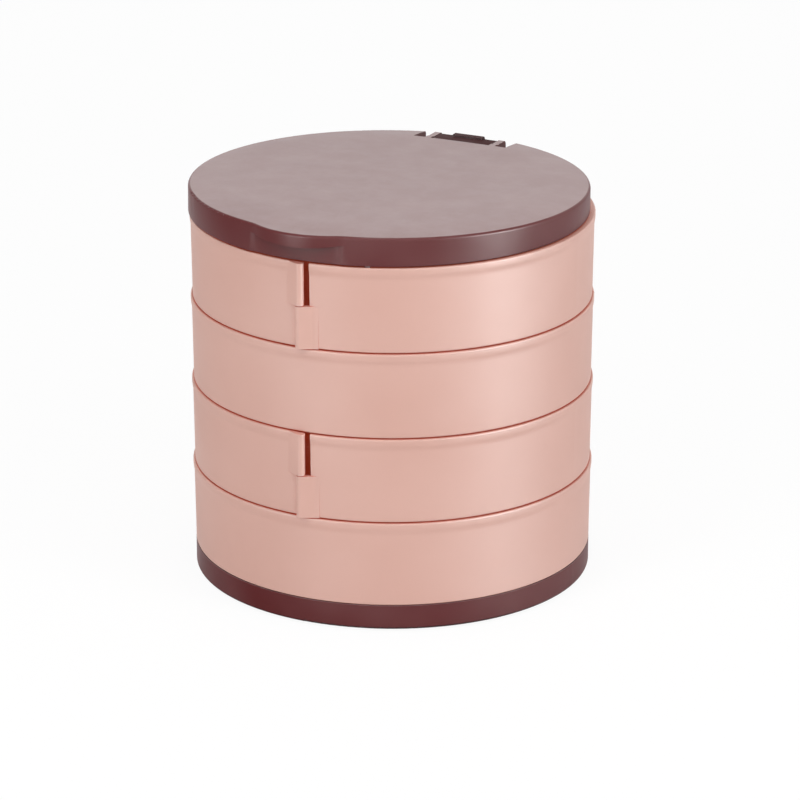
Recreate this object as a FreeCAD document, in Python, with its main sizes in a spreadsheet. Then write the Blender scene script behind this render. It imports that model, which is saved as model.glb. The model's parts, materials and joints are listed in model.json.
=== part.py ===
import FreeCAD, Part
import math
import os

import Sketcher
from FreeCAD import Placement, Rotation, Vector

# Round box of four stacked trays with a mirrored lid, millimetres, +Z up.
# The origin is the centre of the foot pads' underside; the finger lip is at -Y and the lid's hinge at +Y.
# Each tray above the fixed one swings out flat about an upright pin. The pins stand alternately at the
# front and at the back, so one tray moulding serves every layer, turned half a turn from the one below.

doc = FreeCAD.newDocument("rotating_jewelry_box")

DIMENSIONS = (
    # trays
    ("rim_radius", 65.0),        # widest point of a tray, on the bead of its rim
    ("tray_tall", 27.6),
    ("layer_gap", 0.3),          # running gap between layers
    ("lid_gap", 0.6),            # under the lid
    ("tray_wall", 2.2),
    ("floor_thick", 1.8),
    ("bead_out", 0.33),          # how far the rim bead stands out of the wall
    ("bead_tall", 4.2),
    ("bead_peak", 1.2),          # widest point of the bead below the rim's top
    ("rim_round", 0.45),
    ("draft", 0.3),              # how much narrower the wall is at its foot
    ("foot_round", 0.5),
    ("floor_fillet", 1.6),
    # upright hinges of the swinging trays
    ("pin_out", 0.4),            # pin axis outside the rim radius
    ("knuckle_radius", 1.4),
    ("pin_radius", 0.7),
    ("pin_running", 0.05),       # radial clearance of the turning knuckle
    ("pin_seat", 0.02),          # radial clearance where the pin stays put
    ("pin_head_radius", 1.0),
    ("pin_head_tall", 0.8),
    ("knuckle_cap", 1.0),        # closed end over the pin
    ("knuckle_gap", 0.25),       # between the upper and the lower knuckle
    ("flank_angle", 28.0),       # how steeply the wall sweeps out to its knuckle
    ("flank_blend", 5.0),
    ("blend_under", 0.1),        # how far the sweep starts inside the wall's face
    ("knuckle_room", 1.65),      # between a knuckle and the wall end beside it
    # hinge bracket, a piece of wall that stands on the tray below
    ("bracket_span", 65.0),      # angle of the arc
    ("bracket_wall", 1.9),
    ("web_thick", 1.8),
    ("web_tall", 3.4),
    ("flange_wide", 7.6),
    ("flange_thick", 2.1),
    ("flange_clear", 0.35),      # flange below the swinging floor
    ("seat_clear", 0.15),        # between pieces that nest in each other
    # the recess of a swinging tray behind its bracket
    ("nest_clear", 0.5),
    ("nest_wall", 1.7),
    ("nest_gap_angle", 0.6),
    # screw posts
    ("post_inset", 4.6),         # post's axis inside the tray's wall
    ("post_radius", 2.7),
    ("post_angle_near", 16.0),
    ("post_angle_far", 48.0),
    ("post_rib", 1.4),
    ("screw_radius", 1.0),
    ("screw_clear", 0.05),
    ("screw_head_radius", 2.1),
    ("screw_head_tall", 1.2),
    ("screw_long", 9.0),
    ("slot_long", 2.5),
    ("slot_wide", 0.4),
    ("slot_deep", 0.5),
    ("hole_spare", 2.0),         # blind hole past the screw's tip
    # base
    ("foot_proud", 0.5),
    ("base_tall", 8.2),
    ("base_inset", 0.6),         # base inside the trays' rim
    ("base_round", 0.9),
    ("pad_radius", 6.0),
    ("pad_socket", 1.0),
    ("pad_inset", 12.4),
    ("base_screw_recess", 4.2),
    ("base_screw_long", 12.0),
    ("base_seat_room", 0.6),     # round the screw heads
    ("base_ring_outer", 42.0),
    ("base_ring_inner", 30.0),
    ("base_ring_deep", 1.2),
    # lid
    ("lid_inset", 0.7),          # lid inside the trays' rim
    ("lid_edge_tall", 8.1),      # height of the lid's top edge at the middle of its length
    ("lid_slope", 0.91),         # the top falls this many degrees towards the hinge
    ("lid_crown", 0.7),
    ("lid_crown_wide", 14.3),    # band at the edge where the top curves down
    ("lid_round", 1.0),
    ("lid_wall", 2.3),
    ("lid_plate", 2.2),
    ("lid_left", 0.8),           # the lid and its hinge sit this far left of the trays
    ("lid_front", 0.8),          # and this far forward
    ("lip_out", 2.8),
    ("lip_chord", 30.0),
    ("lip_blend", 14.0),
    ("lip_tall", 4.3),
    ("lip_belly", 1.3),          # how much the lip's foot rises towards its ends
    ("lip_round", 0.95),
    ("lip_turn", 1.4),           # lip and panel sit this many degrees left of the lid's middle
    ("panel_chord", 32.3),
    ("panel_deep", 0.45),
    ("panel_ramp", 1.6),         # slanted ends of the sunk panel
    ("ceiling_round", 1.0),
    # lid hinge
    ("notch_wide", 33.4),
    ("notch_deep", 9.1),
    ("notch_wall", 2.0),
    ("barrel_radius", 3.2),
    ("barrel_room", 0.4),        # between the barrel and the notch's front wall
    ("barrel_under", 0.2),       # barrel below the lid's top there
    ("barrel_long", 20.5),
    ("ear_wide", 2.1),
    ("ear_gap", 0.3),
    ("ear_round", 1.4),
    ("stop_pad_wide", 10.5),
    ("stop_pad_back", 4.2),
    ("stop_pad_up", 2.45),
    ("stop_pad_down", 2.4),
    ("lid_pin_radius", 1.0),
    ("stem_thick", 4.6),
    ("stem_front", 1.6),         # stem's front face before the pin's axis
    ("hinge_foot_wide", 35.0),
    ("hinge_foot_deep", 12.0),
    ("hinge_foot_edge", 3.0),    # foot before its screw posts
    ("hinge_foot_thick", 2.4),
    ("hinge_foot_down", 3.0),    # foot's top below the tray's rim
    ("hinge_post_angle", 14.0),
    ("rear_relief", 0.8),
    ("relief_wide", 60.0),
    ("relief_front", 1.5),       # relief's edge before the hinge axis
    # mirror
    ("mirror_inset", 16.3),      # mirror's edge inside the lid's
    ("mirror_thick", 1.8),
    ("mirror_clear", 0.15),
    ("frame_wide", 3.2),
    ("frame_lip", 1.0),
    ("frame_proud", 0.6),
    ("frame_round", 0.4),
    ("bumper_radius", 0.9),
    # inside the trays
    ("liner_thick", 1.0),
    ("liner_clear", 0.4),
    ("divider_thick", 1.6),
    ("divider_tall", 18.0),
    ("divider_clear", 0.5),
    ("hub_radius", 3.5),
    ("roll_radius", 4.6),
    ("roll_pitch", 9.6),
    ("cushion_tall", 15.0),
    ("back_arm", 40.0),          # length of the uppermost divider's arm to the hinge
    # for joining and cutting
    ("sunk", 0.4),               # how far an added feature runs into the wall
    ("spare", 3.0),              # how far a cut reaches past what it cuts
)

# Lengths and angles that follow from the driving ones.
WORKED = (
    ("pitch", "dims.tray_tall + dims.layer_gap"),
    ("tray_inner", "dims.rim_radius - dims.tray_wall"),
    ("bracket_inner", "dims.rim_radius - dims.bracket_wall"),
    ("web_inner", "tray_inner - dims.web_thick"),
    ("flange_inner", "tray_inner - dims.flange_wide"),
    ("post_circle", "tray_inner - dims.post_inset"),
    ("wall_end", "dims.knuckle_radius + dims.knuckle_room"),
    ("base_radius", "dims.rim_radius - dims.base_inset"),
    ("pad_circle", "base_radius - dims.pad_inset"),
    ("base_hole", "dims.base_screw_long - dims.base_tall + dims.base_screw_recess + dims.hole_spare"),
    ("lid_radius", "dims.rim_radius - dims.lid_inset"),
    ("lid_flat", "lid_radius - dims.lid_crown_wide"),
    ("notch_front", "lid_radius - dims.notch_deep"),
    ("mirror_radius", "lid_radius - dims.mirror_inset"),
    ("wall_top", "dims.rim_radius - dims.bead_out"),
    ("wall_foot", "wall_top - dims.draft"),
    ("bead_mid", "wall_top + dims.bead_out / 2"),
    ("bead_half", "(dims.bead_tall - dims.bead_peak) / 2"),
    ("bead_arc", "((dims.bead_out / 2)^2 + bead_half^2) / dims.bead_out"),
    ("pin_circle", "dims.rim_radius + dims.pin_out"),
    ("knuckle_split", "dims.tray_tall / 2"),
    ("nest_outer", "web_inner - dims.nest_clear"),
    ("nest_inner", "nest_outer - dims.nest_wall"),
    ("nest_span", "dims.bracket_span + dims.nest_gap_angle"),
    ("nest_end", "nest_span + dims.nest_wall / nest_outer * 57.2958"),
    ("flank_circle", "wall_top - dims.blend_under"),
    ("flank_reach", "dims.knuckle_radius + dims.flank_blend"),
    ("flank_outer", "flank_circle + dims.flank_blend"),
    ("flank_run", "pin_circle * sin(dims.flank_angle) - sqrt((pin_circle * sin(dims.flank_angle))^2"
                  " - flank_reach^2 - pin_circle^2"
                  " - 2 * pin_circle * flank_reach * cos(dims.flank_angle) + flank_outer^2)"),
    ("blend_x", "sin(dims.flank_angle) * flank_reach + cos(dims.flank_angle) * flank_run"),
    ("blend_y", "-pin_circle - cos(dims.flank_angle) * flank_reach + sin(dims.flank_angle) * flank_run"),
    ("flange_top", "-dims.flange_clear"),
    ("flange_foot", "flange_top - dims.flange_thick"),
    ("post_top", "pitch + flange_foot"),
    ("base_top", "dims.foot_proud + dims.base_tall"),
    ("lid_bottom", "base_top + 3 * pitch + dims.tray_tall + dims.lid_gap"),
    ("crown_arc", "((lid_radius - dims.lid_round - lid_flat)^2 + dims.lid_crown^2)"
                  " / (2 * dims.lid_crown)"),
    ("ceiling", "dims.lid_edge_tall - dims.lid_plate"),
    ("lip_under", "dims.lid_edge_tall - dims.lip_tall"),
    ("lip_sag", "lid_radius + dims.lip_out - sqrt(lid_radius^2 - (dims.lip_chord / 2)^2)"),
    ("lip_arc", "((dims.lip_chord / 2)^2 + lip_sag^2) / (2 * lip_sag)"),
    ("lip_centre", "lid_radius + dims.lip_out - lip_arc"),
    # centre of the hollow arc that blends the lip into the rim
    ("lip_far", "lid_radius + dims.lip_blend"),
    ("lip_near", "lip_arc + dims.lip_blend"),
    ("lip_y", "(lip_far^2 - lip_near^2 + lip_centre^2) / (2 * lip_centre)"),
    ("lip_x", "sqrt(lip_far^2 - lip_y^2)"),
    ("belly_arc", "((dims.panel_chord / 2)^2 + dims.lip_belly^2) / (2 * dims.lip_belly)"),
    ("belly_end", "lip_under + belly_arc - sqrt(belly_arc^2 - lip_x^2)"),
    ("hinge_y", "notch_front + dims.barrel_radius + dims.barrel_room"),
    ("hinge_top", "dims.lid_edge_tall - hinge_y * tan(dims.lid_slope) + dims.lid_crown"
                  " - (hinge_y - lid_flat)^2 / (2 * crown_arc)"),
    ("hinge_z", "hinge_top - dims.barrel_radius - dims.barrel_under"),
    ("ear_inner", "dims.barrel_long / 2 + dims.ear_gap"),
    ("axis_y", "hinge_y - dims.lid_front"),
    ("hinge_foot_top", "dims.tray_tall - dims.hinge_foot_down"),
    ("hinge_post_top", "hinge_foot_top - dims.hinge_foot_thick"),
    ("liner_top", "dims.floor_thick + dims.liner_thick"),
)

# Angles from the front towards the right, in degrees.
PAD_ANGLES = (0, 90, 180, 270)
BUMPER_ANGLES = (20, 125, 235)

dims = doc.addObject("Spreadsheet::Sheet", "dims")
for row, (alias, value) in enumerate(DIMENSIONS, 1):
    dims.set("A%d" % row, alias)
    dims.set("B%d" % row, str(value))
    dims.setAlias("B%d" % row, alias)
worked = doc.addObject("Spreadsheet::Sheet", "worked")
for row, (alias, formula) in enumerate(WORKED, 1):
    worked.set("A%d" % row, alias)
    worked.set("B%d" % row, "=" + formula)
    worked.setAlias("B%d" % row, alias)
doc.recompute()


def number(expression):
    """Value of an expression in the sheets' names."""
    value = dims.evalExpression(str(expression))
    return float(getattr(value, "Value", value))


def bind(item, **expressions):
    """Ties properties to sheet expressions; a double underscore stands for a dot."""
    for path, expression in expressions.items():
        item.setExpression(path.replace("__", "."), str(expression))
    return item


def place(item, x="0", y="0", z="0", turn=None, axis=Vector(0, 0, 1)):
    """Places an item by expressions, turned about an axis by an angle in degrees."""
    item.Placement = Placement(Vector(), Rotation(axis, number(turn or 0)))
    bind(item, Placement__Base__x=x, Placement__Base__y=y, Placement__Base__z=z)
    if turn is not None:
        bind(item, Placement__Rotation__Angle=turn)
    return item


def draw(sketch, *loops):
    """Draws closed loops, each corner tied to the sheets.

    A corner is (x, y), or (x, y, radius, side) where an arc of under half a turn leads to it, with the
    arc's centre on the left (1) or right (-1) of the way there. A loop of one (x, y, radius) is a circle.
    """
    def tie(kind, expression, *where):
        index = sketch.addConstraint(Sketcher.Constraint(kind, *where, number(expression)))
        sketch.setExpression("Constraints[%d]" % index, str(expression))

    def tie_point(x, y, geometry, point):
        tie("DistanceX", x, -1, 1, geometry, point)
        tie("DistanceY", y, -1, 1, geometry, point)

    for loop in loops:
        first = len(sketch.Geometry)
        if len(loop) == 1:
            x, y, radius = loop[0]
            centre = Vector(number(x), number(y), 0)
            sketch.addGeometry(Part.Circle(centre, Vector(0, 0, 1), number(radius)), False)
            tie_point(x, y, first, 3)
            tie("Radius", radius, first)
            continue
        count = len(loop)
        for step, corner in enumerate(loop):
            start = Vector(number(loop[step - 1][0]), number(loop[step - 1][1]), 0)
            end = Vector(number(corner[0]), number(corner[1]), 0)
            if len(corner) == 2:
                sketch.addGeometry(Part.LineSegment(start, end), False)
                continue
            radius, side = number(corner[2]), corner[3]
            chord = end - start
            rise = math.sqrt(max(radius ** 2 - chord.Length ** 2 / 4, 0)) * side
            left = Vector(-chord.y, chord.x, 0) / chord.Length
            centre = (start + end) / 2 + left * rise
            ends = (start, end) if side == 1 else (end, start)
            angles = [math.atan2(p.y - centre.y, p.x - centre.x) for p in ends]
            circle = Part.Circle(centre, Vector(0, 0, 1), radius)
            sketch.addGeometry(Part.ArcOfCircle(circle, *angles), False)
        for step, corner in enumerate(loop):
            after = (step + 1) % count
            here_end = 1 if len(corner) == 4 and corner[3] == -1 else 2
            next_start = 2 if len(loop[after]) == 4 and loop[after][3] == -1 else 1
            sketch.addConstraint(Sketcher.Constraint(
                "Coincident", first + step, here_end, first + after, next_start))
        for step, corner in enumerate(loop):
            here_end = 1 if len(corner) == 4 and corner[3] == -1 else 2
            tie_point(corner[0], corner[1], first + step, here_end)
            if len(corner) == 4:
                tie("Radius", corner[2], first + step)
    return sketch


def new_body(label):
    body = doc.addObject("PartDesign::Body", label)
    body.Label = label
    return body


def body_sketch(body, name, plane, *loops, height="0", turn=None):
    """Sketch on one of the body's own planes, raised or turned about the upright axis."""
    sketch = body.newObject("Sketcher::SketchObject", name)
    face = next(f for f in body.Origin.OriginFeatures if f.Role == plane)
    sketch.AttachmentSupport = [(face, "")]
    sketch.MapMode = "FlatFace"
    draw(sketch, *loops)
    if turn is not None:
        sketch.AttachmentOffset = Placement(Vector(), Rotation(Vector(0, 1, 0), number(turn)))
        bind(sketch, AttachmentOffset__Rotation__Angle=turn)
    if height != "0":
        bind(sketch, AttachmentOffset__Base__z=height)
    return sketch


def revolve(body, name, sketch, angle="360"):
    feature = body.newObject("PartDesign::Revolution", name)
    feature.Profile = sketch
    feature.ReferenceAxis = (sketch, ["V_Axis"])
    return bind(feature, Angle=angle)


def pad(body, name, sketch, length):
    feature = body.newObject("PartDesign::Pad", name)
    feature.Profile = sketch
    return bind(feature, Length=length)


def pocket(body, name, sketch, length):
    """Cuts upwards from the sketch."""
    feature = body.newObject("PartDesign::Pocket", name)
    feature.Profile = sketch
    feature.Reversed = True
    return bind(feature, Length=length)


def free_sketch(name, plane, *loops):
    """Sketch outside a body, on the XY, XZ or YZ plane."""
    sketch = draw(doc.addObject("Sketcher::SketchObject", name), *loops)
    turns = {
        "XY": Rotation(),
        "XZ": Rotation(Vector(1, 0, 0), 90),
        "YZ": Rotation(Vector(0, 0, 1), 90) * Rotation(Vector(1, 0, 0), 90),
    }
    sketch.Placement = Placement(Vector(), turns[plane])
    return sketch


def spin(name, sketch):
    item = doc.addObject("Part::Revolution", name)
    item.Source = sketch
    item.Axis = Vector(0, 0, 1)
    item.Angle = 360
    item.Solid = True
    return item


def extrude(name, sketch, length, direction=Vector(0, 0, 1)):
    item = doc.addObject("Part::Extrusion", name)
    item.Base = sketch
    item.DirMode = "Custom"
    item.Dir = direction
    item.Solid = True
    return bind(item, LengthFwd=length)


def box(name, long, wide, tall, x, y, z):
    item = doc.addObject("Part::Box", name)
    bind(item, Length=long, Width=wide, Height=tall)
    return place(item, x, y, z)


def rod(name, radius, tall, x="0", y="0", z="0", turn=None, axis=Vector(0, 0, 1)):
    item = doc.addObject("Part::Cylinder", name)
    bind(item, Radius=radius, Height=tall)
    return place(item, x, y, z, turn, axis)


def fuse(name, *shapes):
    item = doc.addObject("Part::MultiFuse", name)
    item.Shapes = list(shapes)
    item.Refine = True
    return item


def cut(name, base, *tools):
    item = doc.addObject("Part::Cut", name)
    item.Base = base
    item.Tool = tools[0] if len(tools) == 1 else fuse(name + "_tools", *tools)
    item.Refine = True
    return item


def common(name, *shapes):
    item = doc.addObject("Part::MultiCommon", name)
    item.Shapes = list(shapes)
    item.Refine = True
    return item


def group(name, *shapes):
    item = doc.addObject("Part::Compound", name)
    item.Links = list(shapes)
    return item


def around(radius, angle):
    """Point on a circle, as expressions; the angle runs from the front towards the right."""
    return "%s * sin(%s)" % (radius, angle), "-(%s) * cos(%s)" % (radius, angle)


def layer_floor(layer):
    """Height of a layer's underside; layer 1 is the uppermost tray."""
    return "worked.base_top + %d * worked.pitch" % (4 - layer)


def outer_wall():
    """Corners up the outside of a tray wall: rounded foot, draft, soft bead and rounded rim."""
    bead = "dims.tray_tall - dims.bead_tall"
    return [
        ("worked.wall_foot - dims.foot_round", "0"),
        ("worked.wall_foot", "dims.foot_round", "dims.foot_round", 1),
        ("worked.wall_top", bead),
        ("worked.bead_mid", bead + " + worked.bead_half", "worked.bead_arc", -1),
        ("dims.rim_radius", "dims.tray_tall - dims.bead_peak", "worked.bead_arc", 1),
        ("dims.rim_radius", "dims.tray_tall - dims.rim_round"),
        ("dims.rim_radius - dims.rim_round", "dims.tray_tall", "dims.rim_round", 1),
    ]


def knuckle_outline(side):
    """Plan of a knuckle and the flank of wall that sweeps out to it, on the right (1) or left (-1)."""
    def at(x, y):
        return ("-(%s)" % x if side == -1 else x), y

    blend = "worked.flank_circle / worked.flank_outer"
    inside = "(worked.tray_inner + dims.sunk) / worked.flank_outer"
    corners = [
        at("worked.blend_x - dims.flank_blend * sin(dims.flank_angle)",
           "worked.blend_y + dims.flank_blend * cos(dims.flank_angle)"),
        at("worked.blend_x * %s" % blend, "worked.blend_y * %s" % blend) + ("dims.flank_blend", -side),
        at("worked.blend_x * %s" % inside, "worked.blend_y * %s" % inside),
        at("dims.knuckle_radius * cos(60)", "-worked.pin_circle + dims.knuckle_radius * sin(60)"),
        at("-dims.knuckle_radius", "-worked.pin_circle") + ("dims.knuckle_radius", side),
        at("dims.knuckle_radius * sin(dims.flank_angle)",
           "-worked.pin_circle - dims.knuckle_radius * cos(dims.flank_angle)")
        + ("dims.knuckle_radius", side),
    ]
    return corners


def add_posts(body, angles, height, hole_depth):
    """Screw posts on the tray floor, each tied to the wall by a rib, with a blind hole from the top."""
    spots = [around("worked.post_circle", angle) for angle in angles]
    base = "dims.floor_thick / 2"
    shafts = body_sketch(body, "post_plan", "XY_Plane",
                         *[[(x, y, "dims.post_radius")] for x, y in spots], height=base)
    pad(body, "posts", shafts, "%s - %s" % (height, base))
    ribs = []
    for angle in angles:
        inner = around("(worked.post_circle + dims.post_radius / 2)", angle)
        outer = around("(worked.tray_inner + dims.sunk)", angle)
        half = "dims.post_rib / 2"
        aside = ("%s * cos(%s)" % (half, angle), "%s * sin(%s)" % (half, angle))
        ribs.append([
            ("%s + %s" % (inner[0], aside[0]), "%s + %s" % (inner[1], aside[1])),
            ("%s - %s" % (inner[0], aside[0]), "%s - %s" % (inner[1], aside[1])),
            ("%s - %s" % (outer[0], aside[0]), "%s - %s" % (outer[1], aside[1])),
            ("%s + %s" % (outer[0], aside[0]), "%s + %s" % (outer[1], aside[1])),
        ])
    rib_plan = body_sketch(body, "rib_plan", "XY_Plane", *ribs, height=base)
    pad(body, "post_ribs", rib_plan, "%s - %s" % (height, base))
    holes = body_sketch(body, "hole_plan", "XY_Plane",
                        *[[(x, y, "dims.screw_radius + dims.screw_clear")] for x, y in spots],
                        height="%s - %s" % (height, hole_depth))
    pocket(body, "screw_holes", holes, "%s + dims.spare" % hole_depth)


def make_tray(layer):
    """One tray: a drafted cup with a beaded rim; the swinging ones step in behind their bracket."""
    tray = new_body("tray_%d" % layer)
    section = [("0", "0")] + outer_wall() + [
        ("worked.tray_inner", "dims.tray_tall"),
        ("worked.tray_inner", "dims.floor_thick + dims.floor_fillet"),
        ("worked.tray_inner - dims.floor_fillet", "dims.floor_thick", "dims.floor_fillet", -1),
        ("0", "dims.floor_thick"),
    ]
    revolve(tray, "cup", body_sketch(tray, "cup_section", "XZ_Plane", section))
    if layer < 4:
        right = "worked.wall_end + dims.nest_wall"
        inner_left = around("worked.nest_inner", "-worked.nest_end")
        outer_left = around("(worked.tray_inner + dims.sunk)", "-worked.nest_end")
        nest = [
            (right, "-sqrt(worked.nest_inner^2 - (%s)^2)" % right),
            inner_left + ("worked.nest_inner", -1),
            outer_left,
            (right, "-sqrt((worked.tray_inner + dims.sunk)^2 - (%s)^2)" % right,
             "worked.tray_inner + dims.sunk", 1),
        ]
        pad(tray, "nest", body_sketch(tray, "nest_plan", "XY_Plane", nest), "dims.tray_tall")
        room = "(dims.rim_radius + dims.spare)"
        gap = [
            ("worked.wall_end", "-sqrt(worked.nest_outer^2 - worked.wall_end^2)"),
            around("worked.nest_outer", "-worked.nest_span") + ("worked.nest_outer", -1),
            around(room, "-worked.nest_span"),
            ("worked.wall_end", "-sqrt(%s^2 - worked.wall_end^2)" % room, room, 1),
        ]
        room_plan = body_sketch(tray, "room_plan", "XY_Plane", gap)
        pocket(tray, "bracket_room", room_plan, "dims.tray_tall + dims.spare")
        knuckle = body_sketch(tray, "knuckle_plan", "XY_Plane", knuckle_outline(1))
        pad(tray, "knuckle", knuckle, "worked.knuckle_split - dims.knuckle_gap / 2")
        bore = body_sketch(tray, "bore_plan", "XY_Plane",
                           [("0", "-worked.pin_circle", "dims.pin_radius + dims.pin_running")])
        pocket(tray, "bore", bore, "dims.tray_tall")
        seat = body_sketch(tray, "head_plan", "XY_Plane",
                           [("0", "-worked.pin_circle", "dims.pin_head_radius + dims.pin_running")])
        pocket(tray, "head_seat", seat, "dims.pin_head_tall + dims.layer_gap")
    if layer > 1:
        angles = ["180 - dims.post_angle_near", "180 - dims.post_angle_far"]
        add_posts(tray, angles, "worked.post_top", "dims.screw_long")
    else:
        angles = ["180 - dims.hinge_post_angle", "180 + dims.hinge_post_angle"]
        add_posts(tray, angles, "worked.hinge_post_top", "dims.screw_long")
    if layer == 4:
        spots = [around("worked.post_circle", angle)
                 for angle in ("180 - dims.post_angle_near", "180 - dims.post_angle_far",
                               "-dims.post_angle_near", "-dims.post_angle_far")]
        short = body_sketch(tray, "boss_plan", "XY_Plane",
                            *[[(x, y, "dims.post_radius")] for x, y in spots[2:]])
        pad(tray, "base_bosses", short, "worked.base_hole + dims.hole_spare")
        under = body_sketch(tray, "base_hole_plan", "XY_Plane",
                            *[[(x, y, "dims.screw_radius + dims.screw_clear")] for x, y in spots])
        pocket(tray, "base_screw_holes", under, "worked.base_hole")
    return place(tray, z=layer_floor(layer), turn=str(180 * (layer % 2 == 0)))


def make_bracket(layer):
    """Arc of wall that carries the upper knuckle, with a flange screwed to the tray below."""
    bracket = new_body("bracket_%d" % layer)
    inside_seat = "worked.tray_inner - dims.seat_clear"
    section = outer_wall() + [
        ("worked.bracket_inner", "dims.tray_tall"),
        ("worked.bracket_inner", "dims.web_tall"),
        ("worked.web_inner", "dims.web_tall"),
        ("worked.web_inner", "worked.flange_top"),
        ("worked.flange_inner", "worked.flange_top"),
        ("worked.flange_inner", "worked.flange_foot"),
        (inside_seat, "worked.flange_foot"),
        (inside_seat, "0"),
    ]
    wall = body_sketch(bracket, "wall_section", "XZ_Plane", section, turn="-90 - dims.bracket_span")
    revolve(bracket, "wall", wall, "dims.bracket_span")
    outside, inside = "-(dims.rim_radius + dims.spare)", "-(worked.flange_inner - dims.spare)"
    end = [("-worked.wall_end", outside), ("dims.spare", outside), ("dims.spare", inside),
           ("-worked.wall_end", inside)]
    end_plan = body_sketch(bracket, "end_plan", "XY_Plane", end, height="worked.flange_foot - dims.spare")
    pocket(bracket, "wall_edge", end_plan, "worked.pitch + 3 * dims.spare")
    split = "worked.knuckle_split + dims.knuckle_gap / 2"
    knuckle = body_sketch(bracket, "knuckle_plan", "XY_Plane", knuckle_outline(-1), height=split)
    pad(bracket, "knuckle", knuckle, "dims.tray_tall - (%s)" % split)
    bore = body_sketch(bracket, "bore_plan", "XY_Plane",
                       [("0", "-worked.pin_circle", "dims.pin_radius + dims.pin_seat")])
    pocket(bracket, "bore", bore, "dims.tray_tall - dims.knuckle_cap")
    spots = [around("worked.post_circle", angle)
             for angle in ("-dims.post_angle_near", "-dims.post_angle_far")]
    holes = body_sketch(bracket, "hole_plan", "XY_Plane",
                        *[[(x, y, "dims.screw_radius + dims.screw_clear")] for x, y in spots],
                        height="worked.flange_foot - dims.spare")
    pocket(bracket, "screw_holes", holes, "dims.flange_thick + 2 * dims.spare")
    seats = body_sketch(bracket, "head_plan", "XY_Plane",
                        *[[(x, y, "dims.screw_head_radius + dims.screw_clear")] for x, y in spots],
                        height="worked.flange_top - dims.screw_head_tall")
    pocket(bracket, "head_seats", seats, "dims.screw_head_tall + dims.spare")
    return place(bracket, z=layer_floor(layer), turn=str(180 * (layer % 2 == 0)))


def make_pin(layer):
    """Rivet pin of an upright hinge: a head under the lower knuckle and a plain shank."""
    name = "pin_%d" % layer
    head = rod(name + "_head", "dims.pin_head_radius", "dims.pin_head_tall", z="dims.layer_gap")
    shank = rod(name + "_shank", "dims.pin_radius",
                "dims.tray_tall - dims.knuckle_cap - 2 * dims.layer_gap", z="dims.layer_gap")
    pin = fuse(name, head, shank)
    side = -1 if layer % 2 else 1
    return place(pin, y="%d * worked.pin_circle" % side, z=layer_floor(layer))


def screw(name, long, x, y, z, up=False):
    """Countersunk screw with its head's flat face at z, pointing down unless up is set."""
    head = doc.addObject("Part::Cone", name + "_head")
    bind(head, Radius1="dims.screw_radius", Radius2="dims.screw_head_radius", Height="dims.screw_head_tall")
    place(head, z="-dims.screw_head_tall")
    shank = rod(name + "_shank", "dims.screw_radius", long, z="-(%s)" % long)
    slots = [box("%s_%s_slot" % (name, way), long_way, wide_way, "dims.spare",
                 "-%s / 2" % long_way, "-%s / 2" % wide_way, "-dims.slot_deep")
             for way, long_way, wide_way in (("long", "dims.slot_long", "dims.slot_wide"),
                                             ("cross", "dims.slot_wide", "dims.slot_long"))]
    item = cut(name, fuse(name + "_blank", head, shank), *slots)
    if up:
        return place(item, x, y, z, "180", Vector(1, 0, 0))
    return place(item, x, y, z)


def make_bracket_screws(layer):
    """The two screws that hold a bracket to the tray below."""
    turn = 180 * (layer % 2 == 0)
    height = "%s + worked.flange_top" % layer_floor(layer)
    screws = []
    for index, angle in enumerate(("post_angle_near", "post_angle_far")):
        x, y = around("worked.post_circle", "(%d - dims.%s)" % (turn, angle))
        screws.append(screw("bracket_%d_screw_%d" % (layer, index), "dims.screw_long - 1", x, y, height))
    return group("bracket_%d_screws" % layer, *screws)


def make_liner(layer):
    """Thin soft liner on a tray's floor, cut round the nest, the posts and the bosses."""
    name = "liner_%d" % layer
    reach = "worked.tray_inner - dims.floor_fillet - dims.liner_clear"
    sheet = rod(name + "_disc", reach, "dims.liner_thick")
    angles = ["180 - dims.post_angle_near", "180 - dims.post_angle_far"]
    if layer == 1:
        angles = ["180 - dims.hinge_post_angle", "180 + dims.hinge_post_angle"]
    if layer == 4:
        angles += ["-dims.post_angle_near", "-dims.post_angle_far"]
    tools = []
    for index, angle in enumerate(angles):
        for part_name, circle in (("hole", "worked.post_circle"),
                                  ("slot", "(worked.post_circle + dims.post_radius)")):
            x, y = around(circle, angle)
            tools.append(rod("%s_%s_%d" % (name, part_name, index), "dims.post_radius + dims.liner_clear",
                             "2 * dims.spare", x, y, "-dims.spare"))
    if layer < 4:
        right = "worked.wall_end + dims.nest_wall + dims.liner_clear"
        inner = "(worked.nest_inner - dims.liner_clear)"
        end = "(worked.nest_end + dims.nest_gap_angle)"
        outer = "(dims.rim_radius + dims.spare)"
        plan = free_sketch(name + "_nest_plan", "XY", [
            (right, "-sqrt(%s^2 - (%s)^2)" % (inner, right)),
            around(inner, "-%s" % end) + (inner, -1),
            around(outer, "-%s" % end),
            (right, "-sqrt(%s^2 - (%s)^2)" % (outer, right), outer, 1),
        ])
        tools.append(place(extrude(name + "_nest", plan, "2 * dims.spare"), z="-dims.spare"))
    liner = cut(name, sheet, *tools)
    return place(liner, z="%s + dims.floor_thick" % layer_floor(layer), turn=str(180 * (layer % 2 == 0)))


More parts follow.
